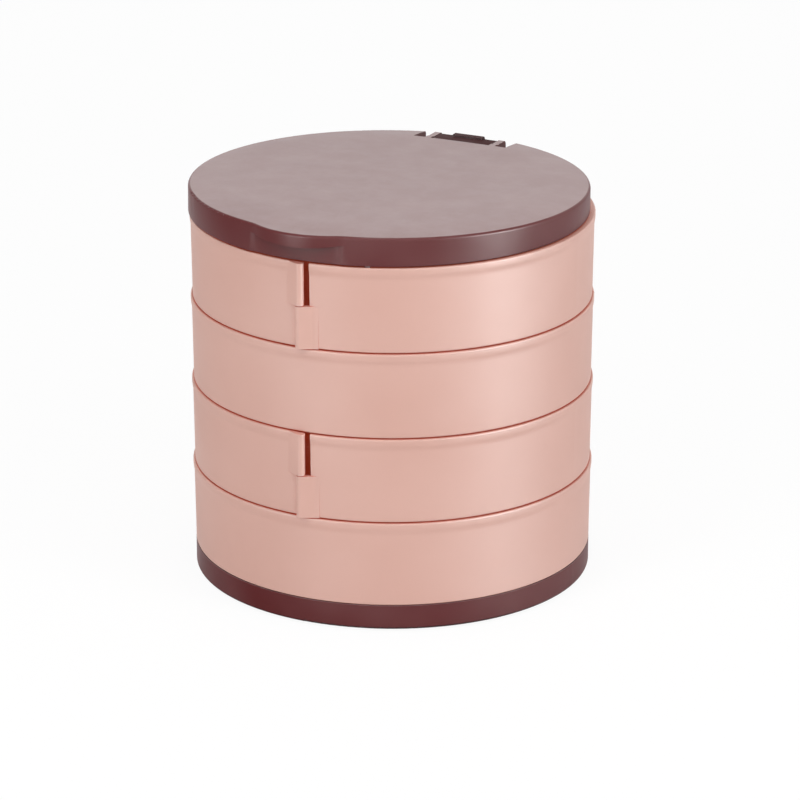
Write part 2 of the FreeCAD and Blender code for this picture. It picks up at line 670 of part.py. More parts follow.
def make_divider(layer, arms):
    """Loose divider: a hub with flat arms; each arm is (angle from the front, reach)."""
    name = "divider_%d" % layer
    pieces = [rod(name + "_hub", "dims.hub_radius", "dims.divider_tall")]
    for index, (angle, reach) in enumerate(arms):
        arm = box("%s_arm_%d" % (name, index), reach, "dims.divider_thick", "dims.divider_tall",
                  "0", "0", "0")
        arm.Placement = Placement(Vector(), Rotation(Vector(0, 0, 1), angle - 90))
        half = "dims.divider_thick / 2"
        bind(arm, Placement__Base__x="-%s * cos(%s)" % (half, angle),
             Placement__Base__y="-%s * sin(%s)" % (half, angle))
        pieces.append(arm)
    divider = fuse(name, *pieces)
    return place(divider, z="%s + worked.liner_top" % layer_floor(layer), turn=str(180 * (layer % 2 == 0)))


def make_ring_cushion():
    """Soft block with a row of rolls, which hold rings between them."""
    tray_floor = "%s + worked.liner_top" % layer_floor(1)
    reach = "(worked.nest_inner - dims.divider_clear)"
    back = "-dims.divider_thick / 2 - dims.divider_clear"
    outline = rod("cushion_round", reach, "dims.cushion_tall")
    rolls = [box("cushion_slab", "2 * %s" % reach, reach, "dims.cushion_tall - dims.roll_radius",
                 "-%s" % reach, "%s - %s" % (back, reach), "0")]
    for index in range(int(number("%s / dims.roll_pitch" % reach)) - 1):
        y = "%s - dims.roll_radius - %d * dims.roll_pitch" % (back, index)
        rolls.append(rod("cushion_roll_%d" % index, "dims.roll_radius", "2 * %s" % reach,
                         "-%s" % reach, y, "dims.cushion_tall - dims.roll_radius", "90", Vector(0, 1, 0)))
    hub_room = rod("cushion_hub_room", "dims.hub_radius + dims.divider_clear",
                   "dims.cushion_tall + dims.spare")
    cushion = cut("ring_cushion", common("cushion_block", outline, fuse("cushion_rolls", *rolls)), hub_room)
    return place(cushion, z=tray_floor)


def make_base():
    """Base with a rounded foot edge, sockets for the pads, deep screw seats and a moulded ring."""
    section = [
        ("0", "0"),
        ("worked.base_radius - dims.base_round", "0"),
        ("worked.base_radius", "dims.base_round", "dims.base_round", 1),
        ("worked.base_radius", "dims.base_tall"),
        ("0", "dims.base_tall"),
    ]
    base = new_body("base")
    revolve(base, "disc", body_sketch(base, "disc_section", "XZ_Plane", section))
    pads = [around("worked.pad_circle", str(angle)) for angle in PAD_ANGLES]
    sockets = body_sketch(base, "socket_plan", "XY_Plane",
                          *[[(x, y, "dims.pad_radius + dims.seat_clear")] for x, y in pads])
    pocket(base, "pad_sockets", sockets, "dims.pad_socket")
    ring = body_sketch(base, "ring_plan", "XY_Plane", [("0", "0", "dims.base_ring_outer")],
                       [("0", "0", "dims.base_ring_inner")])
    pocket(base, "moulded_ring", ring, "dims.base_ring_deep")
    spots = base_screw_spots()
    seats = body_sketch(base, "seat_plan", "XY_Plane",
                        *[[(x, y, "dims.screw_head_radius + dims.base_seat_room")] for x, y in spots])
    pocket(base, "screw_seats", seats, "dims.base_screw_recess")
    holes = body_sketch(base, "hole_plan", "XY_Plane",
                        *[[(x, y, "dims.screw_radius + dims.screw_clear")] for x, y in spots])
    pocket(base, "screw_holes", holes, "dims.base_tall + dims.spare")
    cones = body_sketch(base, "head_plan", "XY_Plane",
                        *[[(x, y, "dims.screw_head_radius + dims.screw_clear")] for x, y in spots])
    pocket(base, "head_seats", cones, "dims.base_screw_recess + dims.screw_head_tall")
    return place(base, z="dims.foot_proud")


def base_screw_spots():
    """Under the two tall posts and the two short bosses of the fixed tray."""
    return [around("worked.post_circle", angle)
            for angle in ("-dims.post_angle_near", "-dims.post_angle_far",
                          "(180 - dims.post_angle_near)", "(180 - dims.post_angle_far)")]


def make_base_screws():
    height = "dims.foot_proud + dims.base_screw_recess"
    screws = [screw("base_screw_%d" % index, "dims.base_screw_long", x, y, height, up=True)
              for index, (x, y) in enumerate(base_screw_spots())]
    return group("base_screws", *screws)


def make_foot_pads():
    pads = [rod("pad_%d" % angle, "dims.pad_radius", "dims.foot_proud + dims.pad_socket",
                *around("worked.pad_circle", str(angle)))
            for angle in PAD_ANGLES]
    return group("foot_pads", *pads)


def tilted(item):
    """Leans an item with the lid's top, which falls towards the hinge."""
    item.Placement = Placement(Vector(), Rotation(Vector(-1, 0, 0), number("dims.lid_slope")))
    return bind(item, Placement__Rotation__Angle="dims.lid_slope")


def set_on_trays(item):
    """Places a piece drawn in the lid's own frame."""
    return place(item, "-dims.lid_left", "-dims.lid_front", "worked.lid_bottom")


def make_lip():
    """Finger lip that sweeps out of the rim and its foot's arched edge, with the region above that edge."""
    def on_lid(side, share="1"):
        return ("%d * worked.lip_x * worked.lid_radius / worked.lip_far * %s" % (side, share),
                "-worked.lip_y * worked.lid_radius / worked.lip_far * %s" % share)

    def on_lip(side):
        share = "worked.lip_arc / worked.lip_near"
        return ("%d * worked.lip_x * %s" % (side, share),
                "-worked.lip_centre - (worked.lip_y - worked.lip_centre) * %s" % share)

    plan = free_sketch("lip_plan", "XY", [
        on_lid(1, "0.9"),
        on_lid(-1, "0.9"),
        on_lid(-1),
        on_lip(-1) + ("dims.lip_blend", -1),
        on_lip(1) + ("worked.lip_arc", 1),
        on_lid(1) + ("dims.lip_blend", -1),
    ])
    block = place(extrude("lip_block", plan, "dims.lid_edge_tall"), turn="-dims.lip_turn")
    above_foot = free_sketch("lip_front", "XZ", [
        ("worked.lip_x", "2 * dims.lid_edge_tall"),
        ("-worked.lip_x", "2 * dims.lid_edge_tall"),
        ("-worked.lip_x", "worked.belly_end"),
        ("worked.lip_x", "worked.belly_end", "worked.belly_arc", 1),
    ])
    upper = place(extrude("lip_upper", above_foot, "dims.rim_radius + dims.spare", Vector(0, -1, 0)),
                  turn="-dims.lip_turn")
    lip = common("lip_cut", block, upper)
    doc.recompute()
    rounded = doc.addObject("Part::Fillet", "lip_rounded")
    rounded.Base = lip
    top = number("dims.lid_edge_tall")
    radius = number("dims.lip_round")
    rounded.Edges = [(index, radius, radius) for index, line in enumerate(lip.Shape.Edges, 1)
                     if abs(line.BoundBox.ZMin - top) < 1e-6 and line.Curve.TypeId == "Part::GeomCircle"]
    return tilted(rounded), upper


def make_panel(above):
    """Shallow sunk panel under the lip, with slanted ends."""
    inside = "(worked.lid_radius - dims.panel_deep)"
    half, deep_half = "(dims.panel_chord / 2)", "(dims.panel_chord / 2 - dims.panel_ramp)"
    rim = "-sqrt(worked.lid_radius^2 - %s^2)" % half
    floor = "-sqrt(%s^2 - %s^2)" % (inside, deep_half)
    outside = "-worked.lid_radius - dims.spare"
    plan = free_sketch("panel_plan", "XY", [
        ("-" + half, rim),
        ("-" + deep_half, floor),
        (deep_half, floor, inside, 1),
        (half, rim),
        (half, outside),
        ("-" + half, outside),
    ])
    block = extrude("panel_block", plan, "2 * dims.lid_edge_tall")
    place(block, z="-dims.lid_edge_tall", turn="-dims.lip_turn")
    return tilted(cut("panel", block, above))


def make_ears():
    """Two ears behind the notch's front wall, which hold the ends of the lid's pin."""
    ears = []
    low = "worked.hinge_z - dims.barrel_radius - dims.barrel_under"
    back = "worked.hinge_y + dims.barrel_radius"
    front = "worked.notch_front - dims.sunk"
    for side, x in (("left", "-worked.ear_inner - dims.ear_wide"), ("right", "worked.ear_inner")):
        plan = free_sketch("ear_%s_section" % side, "YZ", [
            (front, low),
            ("%s - dims.ear_round" % back, low),
            (back, "%s + dims.ear_round" % low, "dims.ear_round", 1),
            (back, "worked.hinge_top - dims.ear_round"),
            ("%s - dims.ear_round" % back, "worked.hinge_top", "dims.ear_round", 1),
            (front, "worked.hinge_top"),
        ])
        bind(plan, Placement__Base__x=x)
        ears.append(extrude("ear_" + side, plan, "dims.ear_wide", Vector(1, 0, 0)))
    return ears


def make_lid():
    """Shallow cap: crowned top, rounded edge, finger lip over a sunk panel, notch and two hinge ears."""
    below = "-dims.spare"
    outer = tilted(spin("lid_outer", free_sketch("lid_section", "XZ", [
        ("0", below),
        ("worked.lid_radius", below),
        ("worked.lid_radius", "dims.lid_edge_tall - dims.lid_round"),
        ("worked.lid_radius - dims.lid_round", "dims.lid_edge_tall", "dims.lid_round", 1),
        ("worked.lid_flat", "dims.lid_edge_tall + dims.lid_crown", "worked.crown_arc", 1),
        ("0", "dims.lid_edge_tall + dims.lid_crown"),
    ])))
    inner = "worked.lid_radius - dims.lid_wall"
    hollow = tilted(spin("lid_hollow", free_sketch("hollow_section", "XZ", [
        ("0", below),
        (inner, below),
        (inner, "worked.ceiling - dims.ceiling_round"),
        ("%s - dims.ceiling_round" % inner, "worked.ceiling", "dims.ceiling_round", 1),
        ("0", "worked.ceiling"),
    ])))
    half = "dims.notch_wide / 2"
    far = "dims.rim_radius + dims.spare"
    tall = "(dims.lid_edge_tall + dims.spare)"
    surround = box("notch_surround", "dims.notch_wide + 2 * dims.notch_wall", far, "2 * %s" % tall,
                   "-%s - dims.notch_wall" % half, "worked.notch_front - dims.notch_wall", "-" + tall)
    notch = box("notch", "dims.notch_wide", far, "2 * %s" % tall, "-%s" % half, "worked.notch_front",
                "-" + tall)
    floor = box("lid_floor", "2 * (%s)" % far, "2 * (%s)" % far, tall, "-(%s)" % far, "-(%s)" % far,
                "-" + tall)
    relief = box("rear_relief", "dims.relief_wide", far, "dims.rear_relief + dims.spare",
                 "-dims.relief_wide / 2", "worked.hinge_y - dims.relief_front", "-dims.spare")
    lip, above = make_lip()
    shell = cut("lid_blank", outer, cut("lid_room", hollow, surround), make_panel(above))
    cap = cut("lid_cap", fuse("lid_with_lip", shell, lip), floor, notch, relief)
    bore = rod("ear_bore", "dims.lid_pin_radius + dims.pin_running", "dims.notch_wide",
               "-%s" % half, "worked.hinge_y", "worked.hinge_z", "90", Vector(0, 1, 0))
    return set_on_trays(cut("lid", fuse("lid_with_ears", cap, *make_ears()), bore))


def make_hinge_block():
    """Barrel in the lid's notch on a stem and a foot, with the pad that stops the open lid."""
    x = "-dims.lid_left"
    z = "dims.tray_tall + dims.lid_gap + worked.hinge_z"
    half = "dims.barrel_long / 2"
    barrel = rod("hinge_barrel", "dims.barrel_radius", "dims.barrel_long",
                 "%s - %s" % (x, half), "worked.axis_y", z, "90", Vector(0, 1, 0))
    stop = box("hinge_stop", "dims.stop_pad_wide", "dims.stop_pad_back",
               "dims.stop_pad_up + dims.stop_pad_down",
               "%s - dims.stop_pad_wide / 2" % x, "worked.axis_y", "%s - dims.stop_pad_down" % z)
    stem = box("hinge_stem", "dims.barrel_long", "dims.stem_thick", "%s - worked.hinge_foot_top" % z,
               "%s - %s" % (x, half), "worked.axis_y - dims.stem_front", "worked.hinge_foot_top")
    room = rod("hinge_room", "worked.tray_inner - dims.seat_clear", "2 * dims.tray_tall")
    foot = box("hinge_foot", "dims.hinge_foot_wide", "dims.hinge_foot_deep", "dims.hinge_foot_thick",
               "-dims.hinge_foot_wide / 2", "worked.post_circle - dims.post_radius - dims.hinge_foot_edge",
               "worked.hinge_post_top")
    body = fuse("hinge_body", barrel, stop, common("hinge_lower", fuse("hinge_stand", stem, foot), room))
    bores = [rod("hinge_bore", "dims.lid_pin_radius + dims.pin_seat", "dims.notch_wide",
                 "%s - dims.notch_wide / 2" % x, "worked.axis_y", z, "90", Vector(0, 1, 0))]
    for side in ("-", "+"):
        px, py = around("worked.post_circle", "(180 %s dims.hinge_post_angle)" % side)
        name = "left" if side == "+" else "right"
        bores.append(rod("foot_hole_" + name, "dims.screw_radius + dims.screw_clear", "dims.tray_tall",
                         px, py))
        bores.append(rod("foot_seat_" + name, "dims.screw_head_radius + dims.screw_clear",
                         "dims.hinge_foot_down", px, py,
                         "worked.hinge_foot_top - dims.screw_head_tall"))
    return place(cut("hinge_block", body, *bores), z=layer_floor(1))


def make_hinge_screws():
    height = "%s + worked.hinge_foot_top" % layer_floor(1)
    screws = []
    for index, side in enumerate(("-", "+")):
        x, y = around("worked.post_circle", "(180 %s dims.hinge_post_angle)" % side)
        screws.append(screw("hinge_screw_%d" % index, "dims.screw_long", x, y, height))
    return group("hinge_block_screws", *screws)


def make_lid_pin():
    long = "(2 * worked.ear_inner + 2 * dims.ear_wide)"
    pin = rod("lid_hinge_pin", "dims.lid_pin_radius", long)
    return place(pin, "-dims.lid_left - %s / 2" % long, "worked.axis_y",
                 "worked.lid_bottom + worked.hinge_z", "90", Vector(0, 1, 0))


def make_mirror():
    """Round mirror on the underside of the lid's plate."""
    disc = rod("mirror_disc", "worked.mirror_radius", "dims.mirror_thick")
    bind(disc, Placement__Base__z="worked.ceiling - dims.mirror_thick")
    leaned = tilted(group("mirror_leaned", disc))
    return set_on_trays(group("mirror", leaned))


def make_mirror_frame():
    """Ring that holds the mirror's edge."""
    inner = "worked.mirror_radius + dims.mirror_clear"
    low = "worked.ceiling - dims.mirror_thick - dims.frame_proud"
    ring = tilted(spin("frame_ring", free_sketch("frame_section", "XZ", [
        (inner, "worked.ceiling"),
        (inner, "worked.ceiling - dims.mirror_thick"),
        ("worked.mirror_radius - dims.frame_lip", "worked.ceiling - dims.mirror_thick"),
        ("worked.mirror_radius - dims.frame_lip + dims.frame_round", low),
        ("%s + dims.frame_wide - dims.frame_round" % inner, low),
        ("%s + dims.frame_wide" % inner, "%s + dims.frame_round" % low, "dims.frame_round", 1),
        ("%s + dims.frame_wide" % inner, "worked.ceiling"),
    ])))
    return set_on_trays(group("mirror_frame", ring))


def make_bumpers():
    """Three soft dots that the closed lid rests on."""
    dots = []
    for angle in BUMPER_ANGLES:
        x, y = around("(worked.lid_radius - dims.lid_wall / 2)", str(angle))
        dots.append(rod("bumper_%d" % angle, "dims.bumper_radius", "dims.lid_gap", x, y, "-dims.lid_gap"))
    return set_on_trays(group("lid_bumpers", *dots))


parts = [make_base(), make_foot_pads(), make_base_screws()]
for layer in (4, 3, 2, 1):
    parts += [make_tray(layer), make_liner(layer)]
for layer in (3, 2, 1):
    parts += [make_bracket(layer), make_bracket_screws(layer), make_pin(layer)]
inner_reach = "(worked.tray_inner - dims.divider_clear)"
nest_reach = "(worked.nest_inner - dims.divider_clear)"
parts.append(make_divider(3, ((90, inner_reach), (-30, nest_reach), (-150, inner_reach))))
parts.append(make_divider(2, ((60, inner_reach), (-90, inner_reach), (-15, nest_reach))))
parts.append(make_divider(1, ((90, inner_reach), (-90, inner_reach), (180, "dims.back_arm"))))
parts += [make_ring_cushion(), make_hinge_block(), make_hinge_screws(), make_lid_pin()]
parts += [make_lid(), make_mirror(), make_mirror_frame(), make_bumpers()]
doc.recompute()

for item in doc.Objects:
    if "Invalid" in item.State or "Error" in item.State:
        raise RuntimeError("%s is %s" % (item.Label, item.State))
for part in parts:
    if part.Shape.isNull() or not part.Shape.isValid() or not part.Shape.Solids:
        raise RuntimeError("%s has no valid solid" % part.Label)

os.makedirs("parts", exist_ok=True)
for part in parts:
    part.Shape.exportStep(os.path.join("parts", part.Label + ".step"))
    shape = part.Shape
    print("%-20s %2d solids %10.1f mm3" % (part.Label, len(shape.Solids), shape.Volume))
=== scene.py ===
"""Looks of a round stacked jewellery box: finishes of every piece, the soft linings and the studio."""
import json
import math

import bmesh
import bpy
import numpy as np
from bpy.props import FloatProperty, FloatVectorProperty, PointerProperty
from mathutils import Matrix, Vector


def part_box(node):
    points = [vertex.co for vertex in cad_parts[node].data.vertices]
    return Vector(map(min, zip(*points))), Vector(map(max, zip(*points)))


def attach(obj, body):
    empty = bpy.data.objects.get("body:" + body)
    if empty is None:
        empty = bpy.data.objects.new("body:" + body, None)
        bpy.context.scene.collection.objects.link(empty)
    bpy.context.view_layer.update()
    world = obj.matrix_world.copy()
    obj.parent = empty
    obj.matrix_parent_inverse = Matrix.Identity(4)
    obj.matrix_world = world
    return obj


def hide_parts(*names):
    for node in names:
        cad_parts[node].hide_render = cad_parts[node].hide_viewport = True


bl_info = {
    "name": "Swing-tray jewellery box",
    "version": (1, 0, 0),
    "blender": (4, 5, 0),
    "location": "3D View > Sidebar > Jewellery box",
    "description": "Finishes, linings and studio of a round box with trays that swing out",
    "category": "Object",
}

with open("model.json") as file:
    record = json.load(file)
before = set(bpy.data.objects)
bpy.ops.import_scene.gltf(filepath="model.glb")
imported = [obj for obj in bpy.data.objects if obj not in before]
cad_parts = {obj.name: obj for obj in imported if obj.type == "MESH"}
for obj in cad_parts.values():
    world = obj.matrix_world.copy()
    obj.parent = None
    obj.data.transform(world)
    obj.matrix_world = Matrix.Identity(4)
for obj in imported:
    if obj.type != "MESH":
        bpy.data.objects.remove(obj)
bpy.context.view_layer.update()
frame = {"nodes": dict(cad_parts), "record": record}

MM = 0.001
TRAYS = (4, 3, 2, 1)
BODY_OF_TRAY = {4: "base", 3: "tray_3", 2: "tray_2", 1: "tray_1"}
TURN_OF_TRAY = {4: math.pi, 3: 0.0, 2: math.pi, 1: 0.0}

# Sizes of the moulded trays that the linings fit, in metres.
LINING_RADIUS = 60.8 * MM
NEST_RADIUS = 58.4 * MM
NEST_START = 5.15 * MM           # right of the pin, where the tray's recess begins
NEST_END = 67.8                  # degrees from the pin, where the recess ends
POST_CIRCLE = 58.2 * MM
POST_ROOM = 3.1 * MM
POST_ANGLES = (164.0, 132.0)
HINGE_POST_ANGLES = (166.0, 194.0)
BOSS_ANGLES = (-16.0, -48.0)
LINING_GAP = 0.05 * MM
LINING_ROLL = 0.45 * MM          # radius of a lining's rolled edge
LINING_COLUMNS = 720
LINING_TOP_ROWS = 44

# Ring cushion: its rolls, and how they end at the tray's wall.
ROLLS = 5
ROLL_PITCH = 9.6 * MM
ROLL_RADIUS = 4.75 * MM
ROLL_END = 3.0 * MM
CUSHION_SHOULDER = 4.5 * MM      # below the crests, where the drop at the ends stops
CUSHION_GAP = 0.3 * MM           # to the tray's recessed wall

# Brackets: heights below their rims, and the strip of wall beside the lower knuckle.
BRACKET_TALL = 27.6 * MM
BRACKET_HALF = 13.675 * MM
WALL_INNER = 63.1 * MM
WALL_OUTER_LOW = 64.37 * MM
WALL_OUTER_HIGH = 64.546 * MM
WALL_FOOT_ROUND = 0.5 * MM
STRIP_FROM = -3.4 * MM
STRIP_TO = -1.75 * MM
STRIP_INSET = 0.004 * MM         # keeps the strip's skin just inside the wall's

# Lid's notch and hinge block, across x and from the hinge's axis.
NOTCH_FRONT = -6.1 * MM
NOTCH_OLD_FRONT = -3.5 * MM
NOTCH_HALF = 16.7 * MM
NOTCH_REACH = 8.0 * MM           # of the cutters, above and below the axis
EAR_INNER = 10.55 * MM
EAR_OUTER = 12.65 * MM
BLOCK_HALF = 10.25 * MM
PAD_HALF = 5.25 * MM
BLOCK_SOFT = 0.35                # millimetres, as are both outlines
PAD_SOFT = 0.25
BLOCK_OUTLINE = ((-4.85, 3.35), (1.3, 3.35), (3.6, 2.0), (3.6, -1.4), (0.0, -3.0), (-3.4, -2.0),
                 (-4.85, 0.0))
PAD_OUTLINE = ((-0.1, 2.4), (-0.1, 3.95), (2.3, 3.95), (3.3, 2.0), (1.0, 1.6))

# Copies of CAD meshes: reach of the joining, and the angle past which an edge stays sharp.
JOIN_REACH = 0.002 * MM
SHARP_ANGLE = math.radians(25)

# Openness round a point at which a gap's shade begins, and at which it is full.
GAP_BEGINS, GAP_FULL = 0.68, 0.24
BLACK = (0.0, 0.0, 0.0, 1.0)

# Camera, in millimetres, and the two small turns that the fit to the photograph left.
SENSOR_WIDTH = 36.0
LENS = 189.18
YAW_OF_CAMERA = -0.00178
PITCH_OF_CAMERA = 0.02274

# Studio: sizes in metres, and the share of rays seen directly that see the floor as white.
FLOOR_HALF = 3.0
FLOOR_WHITE_SHARE = 0.92
AIM_HEIGHT = 0.06                # of the lamps
WORLD_LIGHT, WORLD_SEEN = 0.42, 1.0

# Lamps: name, turn from the camera and elevation in degrees, distance, size, radiance's setting
# and whether the lamp shows in gloss only.
LAMPS = (
    ("right_box", 50, 31, 0.65, (0.2, 0.6), "right_light", False),
    ("left_box", -40, 36, 0.65, (0.2, 0.6), "left_light", False),
    ("right_strip", 60, 10, 0.9, (0.25, 0.42), "right_gleam", True),
    ("left_strip", -44, 10, 0.9, (0.25, 0.42), "left_gleam", True),
    ("back_box", 180, 24, 0.9, (0.9, 0.4), "back_light", False),
    ("top_box", 0, 75, 0.9, (0.6, 0.6), "top_light", False),
)


# Shader building

def node(tree, kind, **settings):
    """Adds a shader node and sets its properties."""
    item = tree.nodes.new(kind)
    for name, value in settings.items():
        setattr(item, name, value)
    return item


def feed(tree, socket, value):
    """Links an output to a socket, or sets the socket to a plain value."""
    if isinstance(value, bpy.types.NodeSocket):
        tree.links.new(value, socket)
    else:
        socket.default_value = value


def maths(tree, operation, first, second=0.0, clamp=False):
    item = node(tree, "ShaderNodeMath", operation=operation, use_clamp=clamp)
    feed(tree, item.inputs[0], first)
    feed(tree, item.inputs[1], second)
    return item.outputs[0]


def blend_colours(tree, factor, first, second):
    item = node(tree, "ShaderNodeMix", data_type="RGBA")
    feed(tree, item.inputs["Factor"], factor)
    feed(tree, item.inputs["A"], first)
    feed(tree, item.inputs["B"], second)
    return item.outputs["Result"]


def ramp(tree, value, low, high, to_low=0.0, to_high=1.0):
    """Carries values from low to high onto to_low to to_high, and holds them outside."""
    item = node(tree, "ShaderNodeMapRange")
    feed(tree, item.inputs["Value"], value)
    for name, number in (("From Min", low), ("From Max", high), ("To Min", to_low), ("To Max", to_high)):
        feed(tree, item.inputs[name], number)
    return item.outputs["Result"]


def noise(tree, coordinates, scale, detail=3.0, roughness=0.5):
    item = node(tree, "ShaderNodeTexNoise")
    feed(tree, item.inputs["Vector"], coordinates)
    feed(tree, item.inputs["Scale"], scale)
    feed(tree, item.inputs["Detail"], detail)
    feed(tree, item.inputs["Roughness"], roughness)
    return item.outputs["Fac"]


def new_group(name, inputs, outputs):
    """Node group with named sockets; returns the tree, its input node and its output node."""
    tree = bpy.data.node_groups.new(name, "ShaderNodeTree")
    for label, kind, default in inputs:
        socket = tree.interface.new_socket(label, in_out="INPUT", socket_type=kind)
        socket.default_value = default
    for label, kind in outputs:
        tree.interface.new_socket(label, in_out="OUTPUT", socket_type=kind)
    return tree, node(tree, "NodeGroupInput").outputs, node(tree, "NodeGroupOutput").inputs


def moulding_marks():
    """Moulded plastic: fine satin grain, slow waviness of the skin and broad uneven tone."""
    tree, given, out = new_group("moulding_marks", [
        ("Grain Size", "NodeSocketFloat", 0.25),
        ("Grain Depth", "NodeSocketFloat", 1.0),
        ("Wave Depth", "NodeSocketFloat", 1.0),
    ], [("Height", "NodeSocketFloat"), ("Tone", "NodeSocketFloat"), ("Mottle", "NodeSocketFloat")])
    place = node(tree, "ShaderNodeTexCoord").outputs["Object"]
    fine = noise(tree, place, maths(tree, "DIVIDE", 1000.0, given["Grain Size"]), 2.0)
    slow = noise(tree, place, 90.0, 1.0)
    grain = maths(tree, "MULTIPLY", fine, given["Grain Depth"])
    wave = maths(tree, "MULTIPLY", slow, maths(tree, "MULTIPLY", given["Wave Depth"], 3.0))
    feed(tree, out["Height"], maths(tree, "ADD", grain, wave))
    feed(tree, out["Tone"], noise(tree, place, 22.0, 2.0))
    feed(tree, out["Mottle"], noise(tree, place, 55.0, 5.0, 0.6))
    return tree


def edge_wear():
    """Masks of handled edges and of deep corners, from a rounded normal and from nearby shadowing: the edge
    mask pales edges that are partly wear and partly painted highlight, and the corner mask places painted
    shade in the gaps of the plastics and tarnish on the steel.
    """
    tree, given, out = new_group("edge_wear", [
        ("Edge Width", "NodeSocketFloat", 0.0006),
        ("Corner Reach", "NodeSocketFloat", 0.002),
    ], [("Edge", "NodeSocketFloat"), ("Corner", "NodeSocketFloat")])
    bevel = node(tree, "ShaderNodeBevel", samples=4)
    feed(tree, bevel.inputs["Radius"], given["Edge Width"])
    surface = node(tree, "ShaderNodeNewGeometry")
    dot = node(tree, "ShaderNodeVectorMath", operation="DOT_PRODUCT")
    feed(tree, dot.inputs[0], bevel.outputs["Normal"])
    feed(tree, dot.inputs[1], surface.outputs["Normal"])
    sharp = ramp(tree, dot.outputs["Value"], 0.995, 0.85)
    # Only edges that look up keep the paler colour: a painted highlight from light above.
    split = node(tree, "ShaderNodeSeparateXYZ")
    feed(tree, split.inputs[0], bevel.outputs["Normal"])
    sharp = maths(tree, "MULTIPLY", sharp, ramp(tree, split.outputs["Z"], -0.25, 0.1))
    place = node(tree, "ShaderNodeTexCoord").outputs["Object"]
    broken = ramp(tree, noise(tree, place, 160.0, 4.0, 0.65), 0.35, 0.7, 0.35, 1.0)
    feed(tree, out["Edge"], maths(tree, "MULTIPLY", sharp, broken))
    # Corner mask: painted shade, rising where nearby surfaces shut out the light.
    shade = node(tree, "ShaderNodeAmbientOcclusion", samples=6)
    feed(tree, shade.inputs["Distance"], given["Corner Reach"])
    feed(tree, out["Corner"], ramp(tree, shade.outputs["AO"], GAP_BEGINS, GAP_FULL))
    return tree


def settled_dust():
    """Mask of fine dust that lies on faces that look up, thicker in patches."""
    tree, given, out = new_group("settled_dust", [("Amount", "NodeSocketFloat", 0.3)],
                                 [("Dust", "NodeSocketFloat")])
    surface = node(tree, "ShaderNodeNewGeometry")
    split = node(tree, "ShaderNodeSeparateXYZ")
    feed(tree, split.inputs[0], surface.outputs["Normal"])
    upward = ramp(tree, split.outputs["Z"], 0.6, 0.98)
    place = node(tree, "ShaderNodeTexCoord").outputs["Object"]
    patches = ramp(tree, noise(tree, place, 70.0, 5.0, 0.7), 0.42, 0.68)
    specks = ramp(tree, noise(tree, place, 2600.0, 1.0), 0.66, 0.74)
    spread = maths(tree, "ADD", maths(tree, "MULTIPLY", patches, 0.6), maths(tree, "MULTIPLY", specks, 0.4))
    whole = maths(tree, "MULTIPLY", spread, upward)
    feed(tree, out["Dust"], maths(tree, "MULTIPLY", whole, given["Amount"], True))
    return tree


def placed(tree, group, **values):
    """Places a shared group in a material; underscores in the names stand for spaces."""
    item = node(tree, "ShaderNodeGroup")
    item.node_tree = group
    for name, value in values.items():
        feed(tree, item.inputs[name.replace("_", " ")], value)
    return item.outputs


def new_material(name, **plain):
    """Material with one Principled BSDF; plain values are set on the shader's own sockets."""
    material = bpy.data.materials.new(name)
    material.use_nodes = True
    tree = material.node_tree
    shader = tree.nodes["Principled BSDF"]
    for label, value in plain.items():
        feed(tree, shader.inputs[label.replace("_", " ")], value)
    return material, tree, shader


def raise_surface(tree, shader, height, distance):
    """Bump from a height that is 0 to 1 times a distance in metres."""
    bump = node(tree, "ShaderNodeBump")
    feed(tree, bump.inputs["Height"], height)
    bump.inputs["Distance"].default_value = distance
    bump.inputs["Strength"].default_value = 1.0
    feed(tree, shader.inputs["Normal"], bump.outputs["Normal"])


def darker(colour, share):
    return tuple(channel * share for channel in colour[:3]) + (1.0,)


def lighter(colour, share):
    return tuple(channel + (1.0 - channel) * share for channel in colour[:3]) + (1.0,)


def opaque(colour):
    return tuple(colour[:3]) + (1.0,)


def satin_plastic(name, colour, corner, glow, groups, roughness):
    """Satin moulded plastic: even skin, paler handled edges that are partly wear and partly painted
    highlight, painted warm shade in the gaps, and a painted glow there.
    """
    material, tree, shader = new_material(name, Specular_IOR_Level=0.3, Emission_Strength=1.0)
    marks = placed(tree, groups["marks"], Grain_Size=0.22, Grain_Depth=0.35, Wave_Depth=0.5)
    wear = placed(tree, groups["wear"], Edge_Width=0.0005, Corner_Reach=0.006)
    skin = blend_colours(tree, ramp(tree, marks["Tone"], 0.3, 0.7), darker(colour, 0.97),
                         lighter(colour, 0.03))
    # Paler edges: partly handling wear, partly painted highlight.
    edged = blend_colours(tree, maths(tree, "MULTIPLY", wear["Edge"], 0.35), skin, lighter(colour, 0.35))
    # Painted shade: the warm gap colour where nearby surfaces shadow the skin.
    deep = blend_colours(tree, wear["Corner"], edged, corner)
    feed(tree, shader.inputs["Base Color"], deep)
    # Painted glow: emission of the gap colour, standing in for light in the gaps.
    feed(tree, shader.inputs["Emission Color"], blend_colours(tree, wear["Corner"], BLACK, glow))
    satin = ramp(tree, marks["Mottle"], 0.3, 0.7, roughness - 0.03, roughness + 0.05)
    feed(tree, shader.inputs["Roughness"],
         maths(tree, "ADD", satin, maths(tree, "MULTIPLY", wear["Corner"], 0.5)))
    raise_surface(tree, shader, marks["Height"], 0.00006)
    return material


